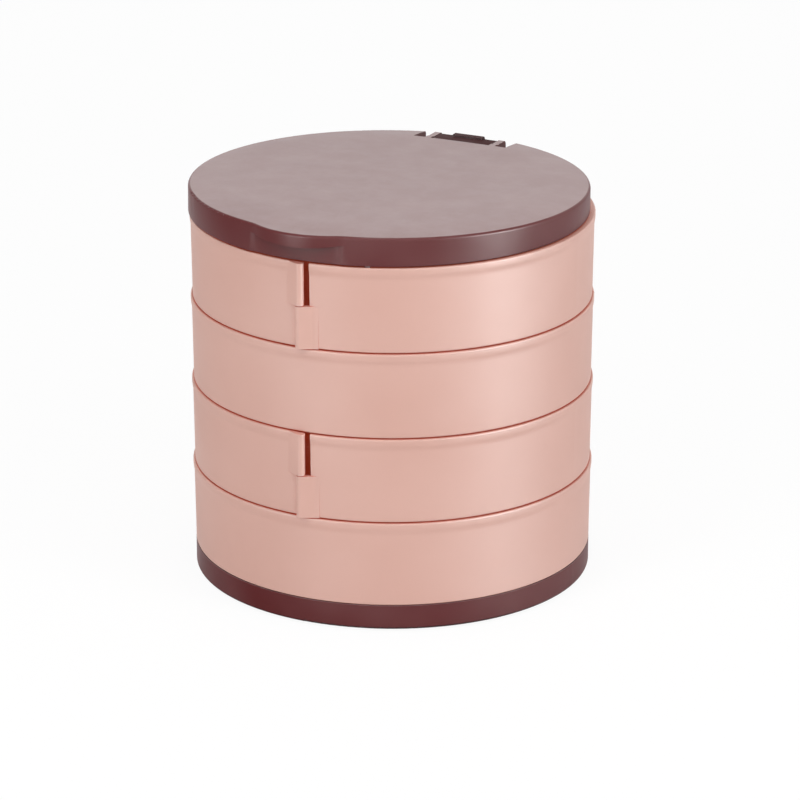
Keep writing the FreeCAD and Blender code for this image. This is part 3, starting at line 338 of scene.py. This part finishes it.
def plum_plastic(name, colour, haze, painted_reflection_share, groups, roughness, shine, dust_amount=0.12):
    """Glossier dark plastic: paler edges that are partly wear and partly painted highlight, a mottled painted
    reflection and dust on faces that look up, and painted shade in corners.
    """
    material, tree, shader = new_material(name, Specular_IOR_Level=shine)
    marks = placed(tree, groups["marks"], Grain_Size=0.3, Grain_Depth=0.25, Wave_Depth=0.6)
    wear = placed(tree, groups["wear"], Edge_Width=0.0005, Corner_Reach=0.004)
    dust = placed(tree, groups["dust"], Amount=dust_amount)
    surface = node(tree, "ShaderNodeNewGeometry")
    split = node(tree, "ShaderNodeSeparateXYZ")
    feed(tree, split.inputs[0], surface.outputs["Normal"])
    upward = ramp(tree, split.outputs["Z"], 0.9, 0.99)
    mottle = ramp(tree, marks["Mottle"], 0.32, 0.68, painted_reflection_share * 0.8, painted_reflection_share)
    skin = blend_colours(tree, ramp(tree, marks["Tone"], 0.3, 0.7), darker(colour, 0.9),
                         lighter(colour, 0.04))
    # Paler edges: partly wear, partly painted highlight.
    edged = blend_colours(tree, maths(tree, "MULTIPLY", wear["Edge"], 0.6), skin, lighter(colour, 0.3))
    # Painted reflection: a mottled pale colour on faces that look up, as a top that reflects light from
    # above.
    with_painted_reflection = blend_colours(tree, maths(tree, "MULTIPLY", upward, mottle), edged, haze)
    dusted = blend_colours(tree, dust["Dust"], with_painted_reflection, lighter(haze, 0.4))
    # Painted shade: a much darker copy of the plastic where nearby surfaces shadow it.
    deep = blend_colours(tree, maths(tree, "MULTIPLY", wear["Corner"], 0.9), dusted, darker(colour, 0.18))
    feed(tree, shader.inputs["Base Color"], deep)
    feed(tree, shader.inputs["Roughness"],
         maths(tree, "ADD", ramp(tree, marks["Mottle"], 0.3, 0.7, roughness, roughness + 0.08),
               maths(tree, "MULTIPLY", upward, 0.08)))
    raise_surface(tree, shader, marks["Height"], 0.00005)
    return material


def short_pile(name, colour, groups):
    """Velvet: nap brushed in patches, fine pile and a soft sheen."""
    material, tree, shader = new_material(name, Specular_IOR_Level=0.2, Roughness=0.9, Sheen_Weight=0.5,
                                          Sheen_Roughness=0.4, Sheen_Tint=lighter(colour, 0.4))
    marks = placed(tree, groups["marks"], Grain_Size=0.35, Grain_Depth=1.0, Wave_Depth=0.6)
    place = node(tree, "ShaderNodeTexCoord").outputs["Object"]
    nap = ramp(tree, noise(tree, place, 120.0, 3.0, 0.7), 0.38, 0.62)
    brushed = blend_colours(tree, nap, darker(colour, 0.72), lighter(colour, 0.06))
    pile = blend_colours(tree, ramp(tree, marks["Mottle"], 0.35, 0.65, 0.0, 0.5), brushed,
                         darker(colour, 0.6))
    feed(tree, shader.inputs["Base Color"], pile)
    raise_surface(tree, shader, marks["Height"], 0.00025)
    return material


def plain_steel(name, groups):
    """Bright drawn steel with fine rings and a little tarnish in corners."""
    material, tree, shader = new_material(name, Metallic=1.0)
    wear = placed(tree, groups["wear"], Edge_Width=0.0003, Corner_Reach=0.001)
    place = node(tree, "ShaderNodeTexCoord").outputs["Object"]
    rings = node(tree, "ShaderNodeTexWave", wave_type="BANDS", bands_direction="Z")
    feed(tree, rings.inputs["Vector"], place)
    rings.inputs["Scale"].default_value = 900.0
    rings.inputs["Distortion"].default_value = 3.0
    tarnish = ramp(tree, noise(tree, place, 400.0, 4.0), 0.4, 0.65)
    metal = blend_colours(tree, tarnish, (0.62, 0.61, 0.6, 1.0), (0.5, 0.48, 0.46, 1.0))
    feed(tree, shader.inputs["Base Color"],
         blend_colours(tree, wear["Corner"], metal, (0.16, 0.13, 0.12, 1.0)))
    feed(tree, shader.inputs["Roughness"], ramp(tree, tarnish, 0.0, 1.0, 0.24, 0.42))
    raise_surface(tree, shader, rings.outputs["Fac"], 0.00002)
    return material


def silvered_glass(name, groups):
    """Mirror with a faint film and specks of dust."""
    material, tree, shader = new_material(name, Metallic=1.0, Coat_Roughness=0.02)
    marks = placed(tree, groups["marks"], Grain_Size=0.6, Grain_Depth=0.0, Wave_Depth=0.0)
    film = ramp(tree, marks["Mottle"], 0.4, 0.8, 0.0, 0.12)
    feed(tree, shader.inputs["Base Color"],
         blend_colours(tree, film, (0.88, 0.9, 0.9, 1.0), (0.7, 0.71, 0.72, 1.0)))
    feed(tree, shader.inputs["Roughness"], ramp(tree, film, 0.0, 0.12, 0.015, 0.07))
    return material


def soft_rubber(name, colour, groups):
    """Matt rubber with scuffed patches."""
    material, tree, shader = new_material(name, Specular_IOR_Level=0.35)
    marks = placed(tree, groups["marks"], Grain_Size=0.4, Grain_Depth=1.0, Wave_Depth=0.3)
    scuff = ramp(tree, marks["Mottle"], 0.45, 0.65)
    feed(tree, shader.inputs["Base Color"], blend_colours(tree, scuff, opaque(colour), lighter(colour, 0.12)))
    feed(tree, shader.inputs["Roughness"], ramp(tree, scuff, 0.0, 1.0, 0.6, 0.8))
    raise_surface(tree, shader, marks["Height"], 0.00008)
    return material


def shared_groups():
    """The shared shader groups, built once."""
    makers = {"marks": moulding_marks, "wear": edge_wear, "dust": settled_dust}
    return {key: bpy.data.node_groups.get(make.__name__) or make() for key, make in makers.items()}


def paint(material, *names):
    """Gives CAD nodes a finish; their meshes stay as they are."""
    for name in names:
        slots = frame["nodes"][name].data.materials
        slots.clear()
        slots.append(material)


# Surfaces

def new_piece(name, data):
    """Object with a mesh, lamp or camera, linked at the scene's origin."""
    piece = bpy.data.objects.new(name, data)
    bpy.context.scene.collection.objects.link(piece)
    return piece


def mesh_piece(name, points, faces):
    mesh = bpy.data.meshes.new(name)
    mesh.from_pydata(points.reshape(-1, 3), [], faces.tolist())
    return new_piece(name, mesh)


def grid_mesh(name, points):
    """Mesh of a grid of points, rows by columns: its columns close round, its end rows are poles."""
    rows, columns, _ = points.shape
    index = np.arange(rows * columns).reshape(rows, columns)
    beside = np.roll(index, -1, axis=1)
    faces = np.stack([index[:-1], beside[:-1], beside[1:], index[1:]], axis=-1).reshape(-1, 4)
    return mesh_piece(name, points, faces)


def tidy_surface(piece, merge=0.00001):
    """Joins the poles and seams, points the faces outwards and shades them smooth."""
    shell = bmesh.new()
    shell.from_mesh(piece.data)
    bmesh.ops.remove_doubles(shell, verts=shell.verts, dist=merge)
    bmesh.ops.dissolve_degenerate(shell, edges=shell.edges, dist=merge / 10)
    bmesh.ops.recalc_face_normals(shell, faces=shell.faces)
    shell.to_mesh(piece.data)
    shell.free()
    piece.data.polygons.foreach_set("use_smooth", np.ones(len(piece.data.polygons), bool))
    return piece


def post_angles(layer):
    """Angles of the screw posts on a tray's floor, in degrees from its pin."""
    if layer == 1:
        return HINGE_POST_ANGLES
    return POST_ANGLES + (BOSS_ANGLES if layer == 4 else ())


def lining_outline(layer, angle):
    """Radius of a lining at each angle from the tray's pin.

    It is the floor's radius, drawn in to the recess behind the bracket, and bitten by a circle round
    each post: the near root of the circle's equation in polar form.
    """
    radius = np.full_like(angle, LINING_RADIUS)
    if layer < 4:
        turned = np.degrees(np.angle(np.exp(1j * angle)))
        start = math.degrees(NEST_START / NEST_RADIUS)
        inside = (turned < start) & (turned > -NEST_END)
        radius = np.where(inside, NEST_RADIUS, radius)
    for post in post_angles(layer):
        away = np.angle(np.exp(1j * (angle - math.radians(post))))
        near = np.abs(away) < math.asin(POST_ROOM / POST_CIRCLE)
        half = np.sqrt(np.maximum(POST_ROOM ** 2 - (POST_CIRCLE * np.sin(away)) ** 2, 0.0))
        radius = np.where(near, np.minimum(radius, POST_CIRCLE * np.cos(away) - half), radius)
    return radius - LINING_GAP


def lining_surface(layer, low, high, pile):
    """Closed sheet on a tray's floor: the outline carried inwards, with an edge that rolls down.

    Rows run from the middle of the top, out to the rolled edge, and back to the middle underneath.
    The top waves by slow sines of the place, so that it lies like cloth and not like a plate.
    """
    angle = np.linspace(0.0, 2 * math.pi, LINING_COLUMNS, endpoint=False)
    reach = lining_outline(layer, angle)
    tall = high - low
    top = reach * np.linspace(0.0, 0.97, LINING_TOP_ROWS)[:, None]
    roll = np.linspace(0.0, math.pi / 2, 7)[:, None]
    edge = reach - LINING_ROLL * (1.0 - np.sin(roll))
    under = reach * np.array([1.0, 0.6, 0.0])[:, None]
    edge_height = np.broadcast_to(tall - LINING_ROLL * (1.0 - np.cos(roll)), edge.shape)
    radius = np.concatenate([top, edge, under])
    height = np.concatenate([np.full_like(top, tall), edge_height, np.zeros_like(under)])
    turned = angle[None, :] + TURN_OF_TRAY[layer]
    x, y = radius * np.sin(turned), -radius * np.cos(turned)
    wave = np.sin(x * 210 + layer) * np.cos(y * 170 - layer) + 0.5 * np.sin(x * 430 + y * 390)
    wave = wave * np.clip((reach[None, :] - radius) / (4 * MM), 0.0, 1.0) * (height > tall * 0.9)
    return np.stack([x, y, low + height + pile * (wave - 1.5)], axis=-1)


def cushion_surface(low, high, reach, back, hub):
    """Foam cushion of rolls side by side: a profile across the rolls carried along them.

    Across, the height is the upper envelope of equal circles, which leaves a deep crease between
    rolls. Along, each line reaches the round outline, and its ends drop by a quarter ellipse. The back
    face gives way round the hub, and slow sines soften the whole.
    """
    across = np.linspace(0.0, 1.0, 200)
    y_line = back - across * (ROLLS * ROLL_PITCH)
    y_line = np.maximum(y_line, -reach * 0.985)
    centres = back - ROLL_RADIUS - ROLL_PITCH * np.arange(ROLLS)
    off = np.abs(y_line[:, None] - centres[None, :]).min(axis=1)
    crown = np.sqrt(np.maximum(ROLL_RADIUS ** 2 - np.minimum(off, ROLL_RADIUS) ** 2, 0.0))
    crest = high - ROLL_RADIUS + crown
    crest[0] = crest[-1] = low
    rows = 180
    along = np.linspace(-1.0, 1.0, rows)
    half = np.sqrt(np.maximum(reach ** 2 - y_line ** 2, (2 * MM) ** 2))
    past = np.abs(along) * half[:, None] - (half[:, None] - ROLL_END)
    ends = 1.0 - np.clip(past / ROLL_END, 0.0, 1.0) ** 2
    cap = np.sqrt(np.clip(ends, 0.0, 1.0))
    x = along[None, :] * half[:, None]
    y = np.repeat(y_line[:, None], rows, axis=1)
    shoulder = high - CUSHION_SHOULDER
    z = np.minimum(crest[:, None], shoulder + (crest[:, None] - shoulder) * cap)
    sway = 0.16 * MM * (np.sin(x * 260 + y * 900) + np.sin(x * 610 - y * 300) * 0.6 - 1.0)
    z = np.where(z > low + 3 * MM, z + sway, z)
    notch = -np.sqrt(np.maximum(hub ** 2 - x ** 2, 0.0))
    y = np.where(np.abs(x) < hub, np.minimum(y, notch - 0.1 * MM), y)
    top = np.stack([x, y, z], axis=-1)
    bottom = np.stack([x, y, np.full_like(x, low)], axis=-1)
    return top, bottom


def cushion_mesh(name, top, bottom):
    """Closes a top and a bottom grid into one shell along their four sides."""
    ring = np.concatenate([top, bottom[::-1]], axis=0)
    rows, columns, _ = ring.shape
    index = np.arange(rows * columns).reshape(rows, columns)
    after = np.roll(index, -1, axis=0)
    faces = np.stack([index[:, :-1], index[:, 1:], after[:, 1:], after[:, :-1]], axis=-1).reshape(-1, 4)
    count = top.shape[0]
    sides = []
    for column in (0, columns - 1):
        upper, lower = index[:count, column], index[count:, column][::-1]
        sides.append(np.stack([upper[:-1], upper[1:], lower[1:], lower[:-1]], axis=-1))
    return mesh_piece(name, ring, np.concatenate([faces] + sides))


def closed_sweep(name, rings):
    """Closed form through equal rings of points; each end is a fan from the middle of its ring."""
    first, last = (np.broadcast_to(ring.mean(axis=0), ring.shape) for ring in (rings[0], rings[-1]))
    return tidy_surface(grid_mesh(name, np.concatenate([first[None], rings, last[None]])))


def soft_corners(outline, reach):
    """Outline whose corners become parabolas: (1-t)^2 before + 2t(1-t) corner + t^2 after."""
    corner = np.array(outline)
    before, after = np.roll(corner, 1, axis=0) - corner, np.roll(corner, -1, axis=0) - corner
    before = corner + before / np.linalg.norm(before, axis=1, keepdims=True) * reach
    after = corner + after / np.linalg.norm(after, axis=1, keepdims=True) * reach
    t = np.linspace(0.0, 1.0, 6)[None, :, None]
    curve = (1 - t) ** 2 * before[:, None] + 2 * t * (1 - t) * corner[:, None] + t ** 2 * after[:, None]
    return curve.reshape(-1, 2)


def bar_across(name, outline, left, right, axis):
    """Straight bar along x with an outline in y and z, measured from the lid's hinge axis."""
    flat = np.concatenate([np.zeros((len(outline), 1)), outline], axis=1)
    ends = np.array([left, right])[:, None, None] * np.array([1.0, 0.0, 0.0])
    return closed_sweep(name, flat[None] + ends + np.array(axis))


def wall_strip(name, layer, top):
    """Strip of tray wall beside the lower knuckle: the wall's section turned about the tray's middle.

    The section's outer side leans by its draft, and a quarter circle rounds its foot.
    """
    low, high = top - BRACKET_TALL, top - BRACKET_HALF
    bend = np.linspace(0.0, math.pi / 2, 8)
    foot_r = WALL_OUTER_LOW - WALL_FOOT_ROUND * (1.0 - np.sin(bend))
    foot_z = low + WALL_FOOT_ROUND * (1.0 - np.cos(bend))
    radius = np.concatenate([[WALL_INNER, WALL_INNER], foot_r, [WALL_OUTER_HIGH]]) - STRIP_INSET
    height = np.concatenate([[high, low], foot_z, [high]])
    angle = TURN_OF_TRAY[layer] + np.linspace(STRIP_FROM, STRIP_TO, 3)[:, None] / WALL_OUTER_LOW
    x, y = radius * np.sin(angle), -radius * np.cos(angle)
    return closed_sweep(name, np.stack([x, y, np.broadcast_to(height, x.shape)], axis=-1))


def node_copy(name, source):
    """New piece with a joined-up copy of a CAD node's mesh."""
    mesh = frame["nodes"][source].data.copy()
    mesh.name = name
    for layer in [item for item in mesh.attributes if item.name == "custom_normal"]:
        mesh.attributes.remove(layer)
    shell = bmesh.new()
    shell.from_mesh(mesh)
    bmesh.ops.remove_doubles(shell, verts=shell.verts, dist=JOIN_REACH)
    shell.to_mesh(mesh)
    shell.free()
    mesh.materials.clear()
    return new_piece(name, mesh)


def carve(piece, operation, *tools):
    """Adds or cuts closed tools on a piece with exact booleans, and shades its flats sharp."""
    for tool in tools:
        modifier = piece.modifiers.new("carve", "BOOLEAN")
        modifier.operation, modifier.object, modifier.solver = operation, tool, "EXACT"
    graph = bpy.context.evaluated_depsgraph_get()
    mesh = bpy.data.meshes.new_from_object(piece.evaluated_get(graph))
    mesh.name = piece.name
    piece.modifiers.clear()
    piece.data = mesh
    for tool in tools:
        bpy.data.objects.remove(tool)
    mesh.polygons.foreach_set("use_smooth", np.ones(len(mesh.polygons), bool))
    mesh.set_sharp_from_angle(angle=SHARP_ANGLE)
    return piece


def stand_for(piece, source, body, material):
    """Puts a finished piece in a CAD node's place."""
    piece.data.materials.clear()
    piece.data.materials.append(material)
    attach(piece, body)
    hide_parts(source)


# Settings

def colour(name, description, value):
    return FloatVectorProperty(name=name, description=description, default=value, size=4, min=0.0, max=1.0,
                               subtype="COLOR")


class BoxFinish(bpy.types.PropertyGroup):
    """Colours and roughness of the box."""
    tray: colour("Tray", "Rose plastic of the trays", (0.60, 0.345, 0.285, 1.0))
    # Painted shade: the warm colour laid in the gaps between layers.
    tray_corner: colour("Tray corner", "Warm shade in the gaps between layers", (0.42, 0.05, 0.016, 1.0))
    # Painted glow: emission in the gaps, standing in for light that comes through the plastic.
    tray_glow: colour("Tray glow", "Light that shines through the plastic in gaps", (0.075, 0.006, 0.0, 1.0))
    trim: colour("Trim", "Plum plastic of base and lid", (0.105, 0.013, 0.014, 1.0))
    # Painted reflection: the pale mottled colour on the lid's top, laid on faces that look up.
    haze: colour("Haze", "Mottled haze on the lid's top", (0.385, 0.295, 0.29, 1.0))
    lining: colour("Lining", "Velvet on floors and cushion", (0.33, 0.11, 0.12, 1.0))
    rubber: colour("Rubber", "Foot pads", (0.03, 0.022, 0.022, 1.0))
    dots: colour("Dots", "Soft dots under the lid", (0.10, 0.03, 0.03, 1.0))
    tray_roughness: FloatProperty(name="Tray roughness", description="Satin of the trays",
                                  default=0.5, min=0.0, max=1.0)
    trim_roughness: FloatProperty(name="Trim roughness", description="Gloss of base and lid",
                                  default=0.36, min=0.0, max=1.0)


class BoxLining(bpy.types.PropertyGroup):
    """Sizes of the soft pieces."""
    pile_wave: FloatProperty(name="Pile wave", description="How far the linings wave", default=0.08 * MM,
                             min=0.0, unit="LENGTH")
    hub_room: FloatProperty(name="Hub room", description="Cushion's clearance round the divider's hub",
                            default=4.0 * MM, min=0.0, unit="LENGTH")


class BoxStudio(bpy.types.PropertyGroup):
    """Lamps, floor and the photograph's viewpoint."""
    azimuth: FloatProperty(name="Azimuth", description="Camera's turn round the box",
                           default=math.radians(26.0), subtype="ANGLE")
    elevation: FloatProperty(name="Elevation", description="Camera above the horizon",
                             default=0.362224, subtype="ANGLE")
    distance: FloatProperty(name="Distance", description="Camera from its target", default=1.37937,
                            unit="LENGTH")
    target_height: FloatProperty(name="Target height", description="Height that the view is fitted to",
                                 default=0.0213, unit="LENGTH")
    floor: colour("Floor", "Pale floor", (0.93, 0.93, 0.93, 1.0))
    right_light: FloatProperty(name="Right light", description="Radiance of the right soft box", default=4.3)
    left_light: FloatProperty(name="Left light", description="Radiance of the left soft box", default=4.1)
    right_gleam: FloatProperty(name="Right gleam", description="Radiance of the right strip, in gloss only",
                               default=145.0)
    left_gleam: FloatProperty(name="Left gleam", description="Radiance of the left strip, in gloss only",
                              default=48.0)
    back_light: FloatProperty(name="Back light", description="Radiance behind the box", default=1.2)
    top_light: FloatProperty(name="Top light", description="Radiance above the box", default=1.6)


# Pieces

class FinishTrays(bpy.types.Operator):
    """Satin rose plastic on the trays and dividers, and the brackets with their full wall ends"""
    bl_idname = "jewelbox.finish_trays"
    bl_label = "Finish trays"

    def execute(self, context):
        look = context.scene.box_finish
        rose = satin_plastic("tray_rose", look.tray, look.tray_corner, look.tray_glow, shared_groups(),
                             look.tray_roughness)
        paint(rose, *["tray_%d" % k for k in TRAYS])
        paint(rose, *["divider_%d" % k for k in (1, 2, 3)])
        for layer in (1, 2, 3):
            source = "bracket_%d" % layer
            strip = wall_strip("wall_strip", layer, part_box(source)[1].z)
            piece = carve(node_copy("hinge_wall_%d" % layer, source), "UNION", strip)
            stand_for(piece, source, BODY_OF_TRAY[layer + 1], rose)
        return {"FINISHED"}


class FinishTrim(bpy.types.Operator):
    """Plum plastic on the base, the mirror's frame, and the finished lid and hinge block"""
    bl_idname = "jewelbox.finish_trim"
    bl_label = "Finish trim"

    def execute(self, context):
        look = context.scene.box_finish
        groups = shared_groups()
        plum = plum_plastic("trim_plum", look.trim, look.haze, 0.0, groups, look.trim_roughness, 0.06)
        # Painted shade: the hinge block is a darker copy of the trim plastic, with less gloss and no dust.
        block = plum_plastic("block_plum", darker(look.trim, 0.42), look.haze, 0.0, groups,
                             look.trim_roughness, 0.01, 0.0)
        # The lid's faces that look up get the mottled painted reflection.
        lid_with_painted_reflection = plum_plastic("lid_plum", look.trim, look.haze, 0.75, groups, look.trim_roughness, 0.11)
        paint(plum, "base", "mirror_frame")
        axis = next(joint for joint in frame["record"]["behaviour"]["joints"]
                    if joint["name"] == "lid_hinge")["pos_m"]
        stand_for(self.cut_lid(axis), "lid", "lid", lid_with_painted_reflection)
        stand_for(self.shape_block(axis), "hinge_block", "tray_1", block)
        return {"FINISHED"}

    def cut_lid(self, axis):
        """Lid whose notch reaches further forward, on both sides of the ears and between them."""
        section = np.array([(NOTCH_FRONT, -NOTCH_REACH), (NOTCH_OLD_FRONT, -NOTCH_REACH),
                            (NOTCH_OLD_FRONT, NOTCH_REACH), (NOTCH_FRONT, NOTCH_REACH)])
        spans = ((-NOTCH_HALF, -EAR_OUTER), (-EAR_INNER, EAR_INNER), (EAR_OUTER, NOTCH_HALF))
        tools = [bar_across("notch_cutter", section, left, right, axis) for left, right in spans]
        return carve(node_copy("lid_cap", "lid"), "DIFFERENCE", *tools)

    def shape_block(self, axis):
        """Hinge block with its flat top and the low pad on its rear edge."""
        flat_top = soft_corners(BLOCK_OUTLINE, BLOCK_SOFT) * MM
        low_pad = soft_corners(PAD_OUTLINE, PAD_SOFT) * MM
        top = bar_across("block_top", flat_top, -BLOCK_HALF, BLOCK_HALF, axis)
        pad = bar_across("block_pad", low_pad, -PAD_HALF, PAD_HALF, axis)
        return carve(node_copy("hinge_rest", "hinge_block"), "UNION", top, pad)


class FinishMetal(bpy.types.Operator):
    """Steel on the pins and screws"""
    bl_idname = "jewelbox.finish_metal"
    bl_label = "Finish metal"

    def execute(self, context):
        steel = plain_steel("pin_steel", shared_groups())
        paint(steel, "base_screws", "hinge_block_screws", "lid_hinge_pin")
        paint(steel, *[name % k for name in ("pin_%d", "bracket_%d_screws") for k in (1, 2, 3)])
        return {"FINISHED"}


class FinishMirror(bpy.types.Operator):
    """Silvered glass in the lid"""
    bl_idname = "jewelbox.finish_mirror"
    bl_label = "Finish mirror"

    def execute(self, context):
        paint(silvered_glass("mirror_silver", shared_groups()), "mirror")
        return {"FINISHED"}


class FinishRubber(bpy.types.Operator):
    """Rubber foot pads and soft dots under the lid"""
    bl_idname = "jewelbox.finish_rubber"
    bl_label = "Finish rubber"

    def execute(self, context):
        look = context.scene.box_finish
        paint(soft_rubber("pad_rubber", look.rubber, shared_groups()), "foot_pads")
        paint(soft_rubber("dot_silicone", look.dots, shared_groups()), "lid_bumpers")
        return {"FINISHED"}


class MakeLinings(bpy.types.Operator):
    """Velvet linings on the floors of the four trays"""
    bl_idname = "jewelbox.make_linings"
    bl_label = "Make linings"

    def execute(self, context):
        look, sizes = context.scene.box_finish, context.scene.box_lining
        velvet = short_pile("lining_velvet", look.lining, shared_groups())
        for layer in TRAYS:
            low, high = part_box("liner_%d" % layer)
            points = lining_surface(layer, low.z, high.z, sizes.pile_wave)
            piece = tidy_surface(grid_mesh("velvet_lining_%d" % layer, points))
            piece.data.materials.append(velvet)
            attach(piece, BODY_OF_TRAY[layer])
            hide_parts("liner_%d" % layer)
        return {"FINISHED"}


class MakeRingCushion(bpy.types.Operator):
    """Ring cushion of soft rolls in the uppermost tray"""
    bl_idname = "jewelbox.make_ring_cushion"
    bl_label = "Make ring cushion"

    def execute(self, context):
        look, sizes = context.scene.box_finish, context.scene.box_lining
        low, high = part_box("ring_cushion")
        reach = NEST_RADIUS - CUSHION_GAP
        top, bottom = cushion_surface(low.z, high.z, reach, high.y, sizes.hub_room)
        piece = tidy_surface(cushion_mesh("ring_rolls", top, bottom))
        piece.data.materials.append(short_pile("cushion_velvet", look.lining, shared_groups()))
        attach(piece, "tray_1")
        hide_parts("ring_cushion")
        return {"FINISHED"}


# Studio

def seen_directly(tree):
    """1 for the camera's, glossy and see-through rays, and 0 for the rest."""
    path = node(tree, "ShaderNodeLightPath")
    seen = maths(tree, "MAXIMUM", path.outputs["Is Camera Ray"], path.outputs["Is Glossy Ray"])
    return maths(tree, "MAXIMUM", seen, path.outputs["Is Transmission Ray"])


def screen_white(tree, base):
    """White that rays which see it directly find mixed over a shader, which keeps some shadow."""
    glow = node(tree, "ShaderNodeEmission")
    glow.inputs["Strength"].default_value = 1.0
    mix = node(tree, "ShaderNodeMixShader")
    feed(tree, mix.inputs[0], maths(tree, "MULTIPLY", seen_directly(tree), FLOOR_WHITE_SHARE))
    feed(tree, mix.inputs[1], base)
    feed(tree, mix.inputs[2], glow.outputs[0])
    return mix.outputs[0]


def soft_box(name, azimuth, elevation, distance, size, radiance, gloss_only):
    """Lamp at a bearing round the box, aimed at its middle; a gloss-only one adds just a highlight."""
    lamp = bpy.data.lights.new(name, "AREA")
    lamp.shape = "RECTANGLE"
    lamp.size, lamp.size_y = size
    lamp.energy = radiance * math.pi * size[0] * size[1]
    item = new_piece(name, lamp)
    turn = Matrix.Rotation(azimuth, 4, "Z") @ Matrix.Rotation(math.pi / 2 - elevation, 4, "X")
    middle, back = Matrix.Translation((0, 0, AIM_HEIGHT)), Matrix.Translation((0, 0, distance))
    item.matrix_world = middle @ turn @ back
    item.visible_camera = False
    item.visible_diffuse = not gloss_only


class SetStudio(bpy.types.Operator):
    """Pale floor, soft boxes and the camera"""
    bl_idname = "jewelbox.set_studio"
    bl_label = "Set studio"

    def execute(self, context):
        scene, studio = context.scene, context.scene.box_studio
        scene.view_settings.view_transform = "Standard"
        self.lay_floor(studio)
        self.light(scene, studio)
        self.aim(scene, studio)
        return {"FINISHED"}

    def lay_floor(self, studio):
        corners = np.array([(-1, -1, 0), (1, -1, 0), (1, 1, 0), (-1, 1, 0)]) * FLOOR_HALF
        floor = mesh_piece("floor", corners, np.array([(0, 1, 2, 3)]))
        material, tree, shader = new_material("floor_white", Roughness=0.9, Specular_IOR_Level=0.0,
                                              Base_Color=tuple(studio.floor))
        output = tree.nodes["Material Output"]
        feed(tree, output.inputs["Surface"], screen_white(tree, shader.outputs[0]))
        floor.data.materials.append(material)

    def light(self, scene, studio):
        world = bpy.data.worlds.new("studio")
        world.use_nodes = True
        scene.world = world
        tree = world.node_tree
        ground = tree.nodes["Background"]
        feed(tree, ground.inputs["Strength"],
             ramp(tree, seen_directly(tree), 0.0, 1.0, WORLD_LIGHT, WORLD_SEEN))
        ground.inputs["Color"].default_value = (1.0, 1.0, 1.0, 1.0)
        for name, turn, elevation, distance, size, setting, gloss_only in LAMPS:
            soft_box(name, studio.azimuth + math.radians(turn), math.radians(elevation), distance, size,
                     getattr(studio, setting), gloss_only)

    def aim(self, scene, studio):
        """Camera at its bearing, with the small turns that the fit to the photograph left."""
        camera = bpy.data.cameras.new("camera")
        camera.sensor_width = SENSOR_WIDTH
        camera.lens = LENS
        item = new_piece("camera", camera)
        aside = Matrix.Rotation(YAW_OF_CAMERA, 4, "Y") @ Matrix.Rotation(PITCH_OF_CAMERA, 4, "X")
        tilt = Matrix.Rotation(math.pi / 2 - studio.elevation, 4, "X")
        back = Vector((0.0, -studio.distance * math.cos(studio.elevation),
                       studio.distance * math.sin(studio.elevation)))
        spot = Matrix.Rotation(studio.azimuth, 4, "Z") @ Matrix.Translation(back) @ tilt @ aside
        item.matrix_world = Matrix.Translation((0, 0, studio.target_height)) @ spot
        camera.clip_start, camera.clip_end = 0.05, 20.0
        scene.camera = item


STEPS = (FinishTrays, FinishTrim, FinishMetal, FinishMirror, FinishRubber, MakeLinings, MakeRingCushion,
         SetStudio)
GROUPS = (("box_finish", BoxFinish), ("box_lining", BoxLining), ("box_studio", BoxStudio))


class JewelBoxPanel(bpy.types.Panel):
    """Settings and steps of the jewellery box"""
    bl_idname = "VIEW3D_PT_jewel_box"
    bl_label = "Jewellery box"
    bl_space_type = "VIEW_3D"
    bl_region_type = "UI"
    bl_category = "Jewellery box"

    def draw(self, context):
        layout = self.layout
        for name, group in GROUPS:
            settings = getattr(context.scene, name)
            for key in group.__annotations__:
                layout.prop(settings, key)
        for step in STEPS:
            layout.operator(step.bl_idname)


CLASSES = tuple(group for _, group in GROUPS) + STEPS + (JewelBoxPanel,)


def register():
    for item in CLASSES:
        bpy.utils.register_class(item)
    for name, group in GROUPS:
        setattr(bpy.types.Scene, name, PointerProperty(type=group))


def unregister():
    for name, _ in GROUPS:
        delattr(bpy.types.Scene, name)
    for item in reversed(CLASSES):
        bpy.utils.unregister_class(item)


def main():
    register()
    for step in STEPS:
        area, action = step.bl_idname.split(".")
        getattr(getattr(bpy.ops, area), action)()


if __name__ == "__main__":
    main()
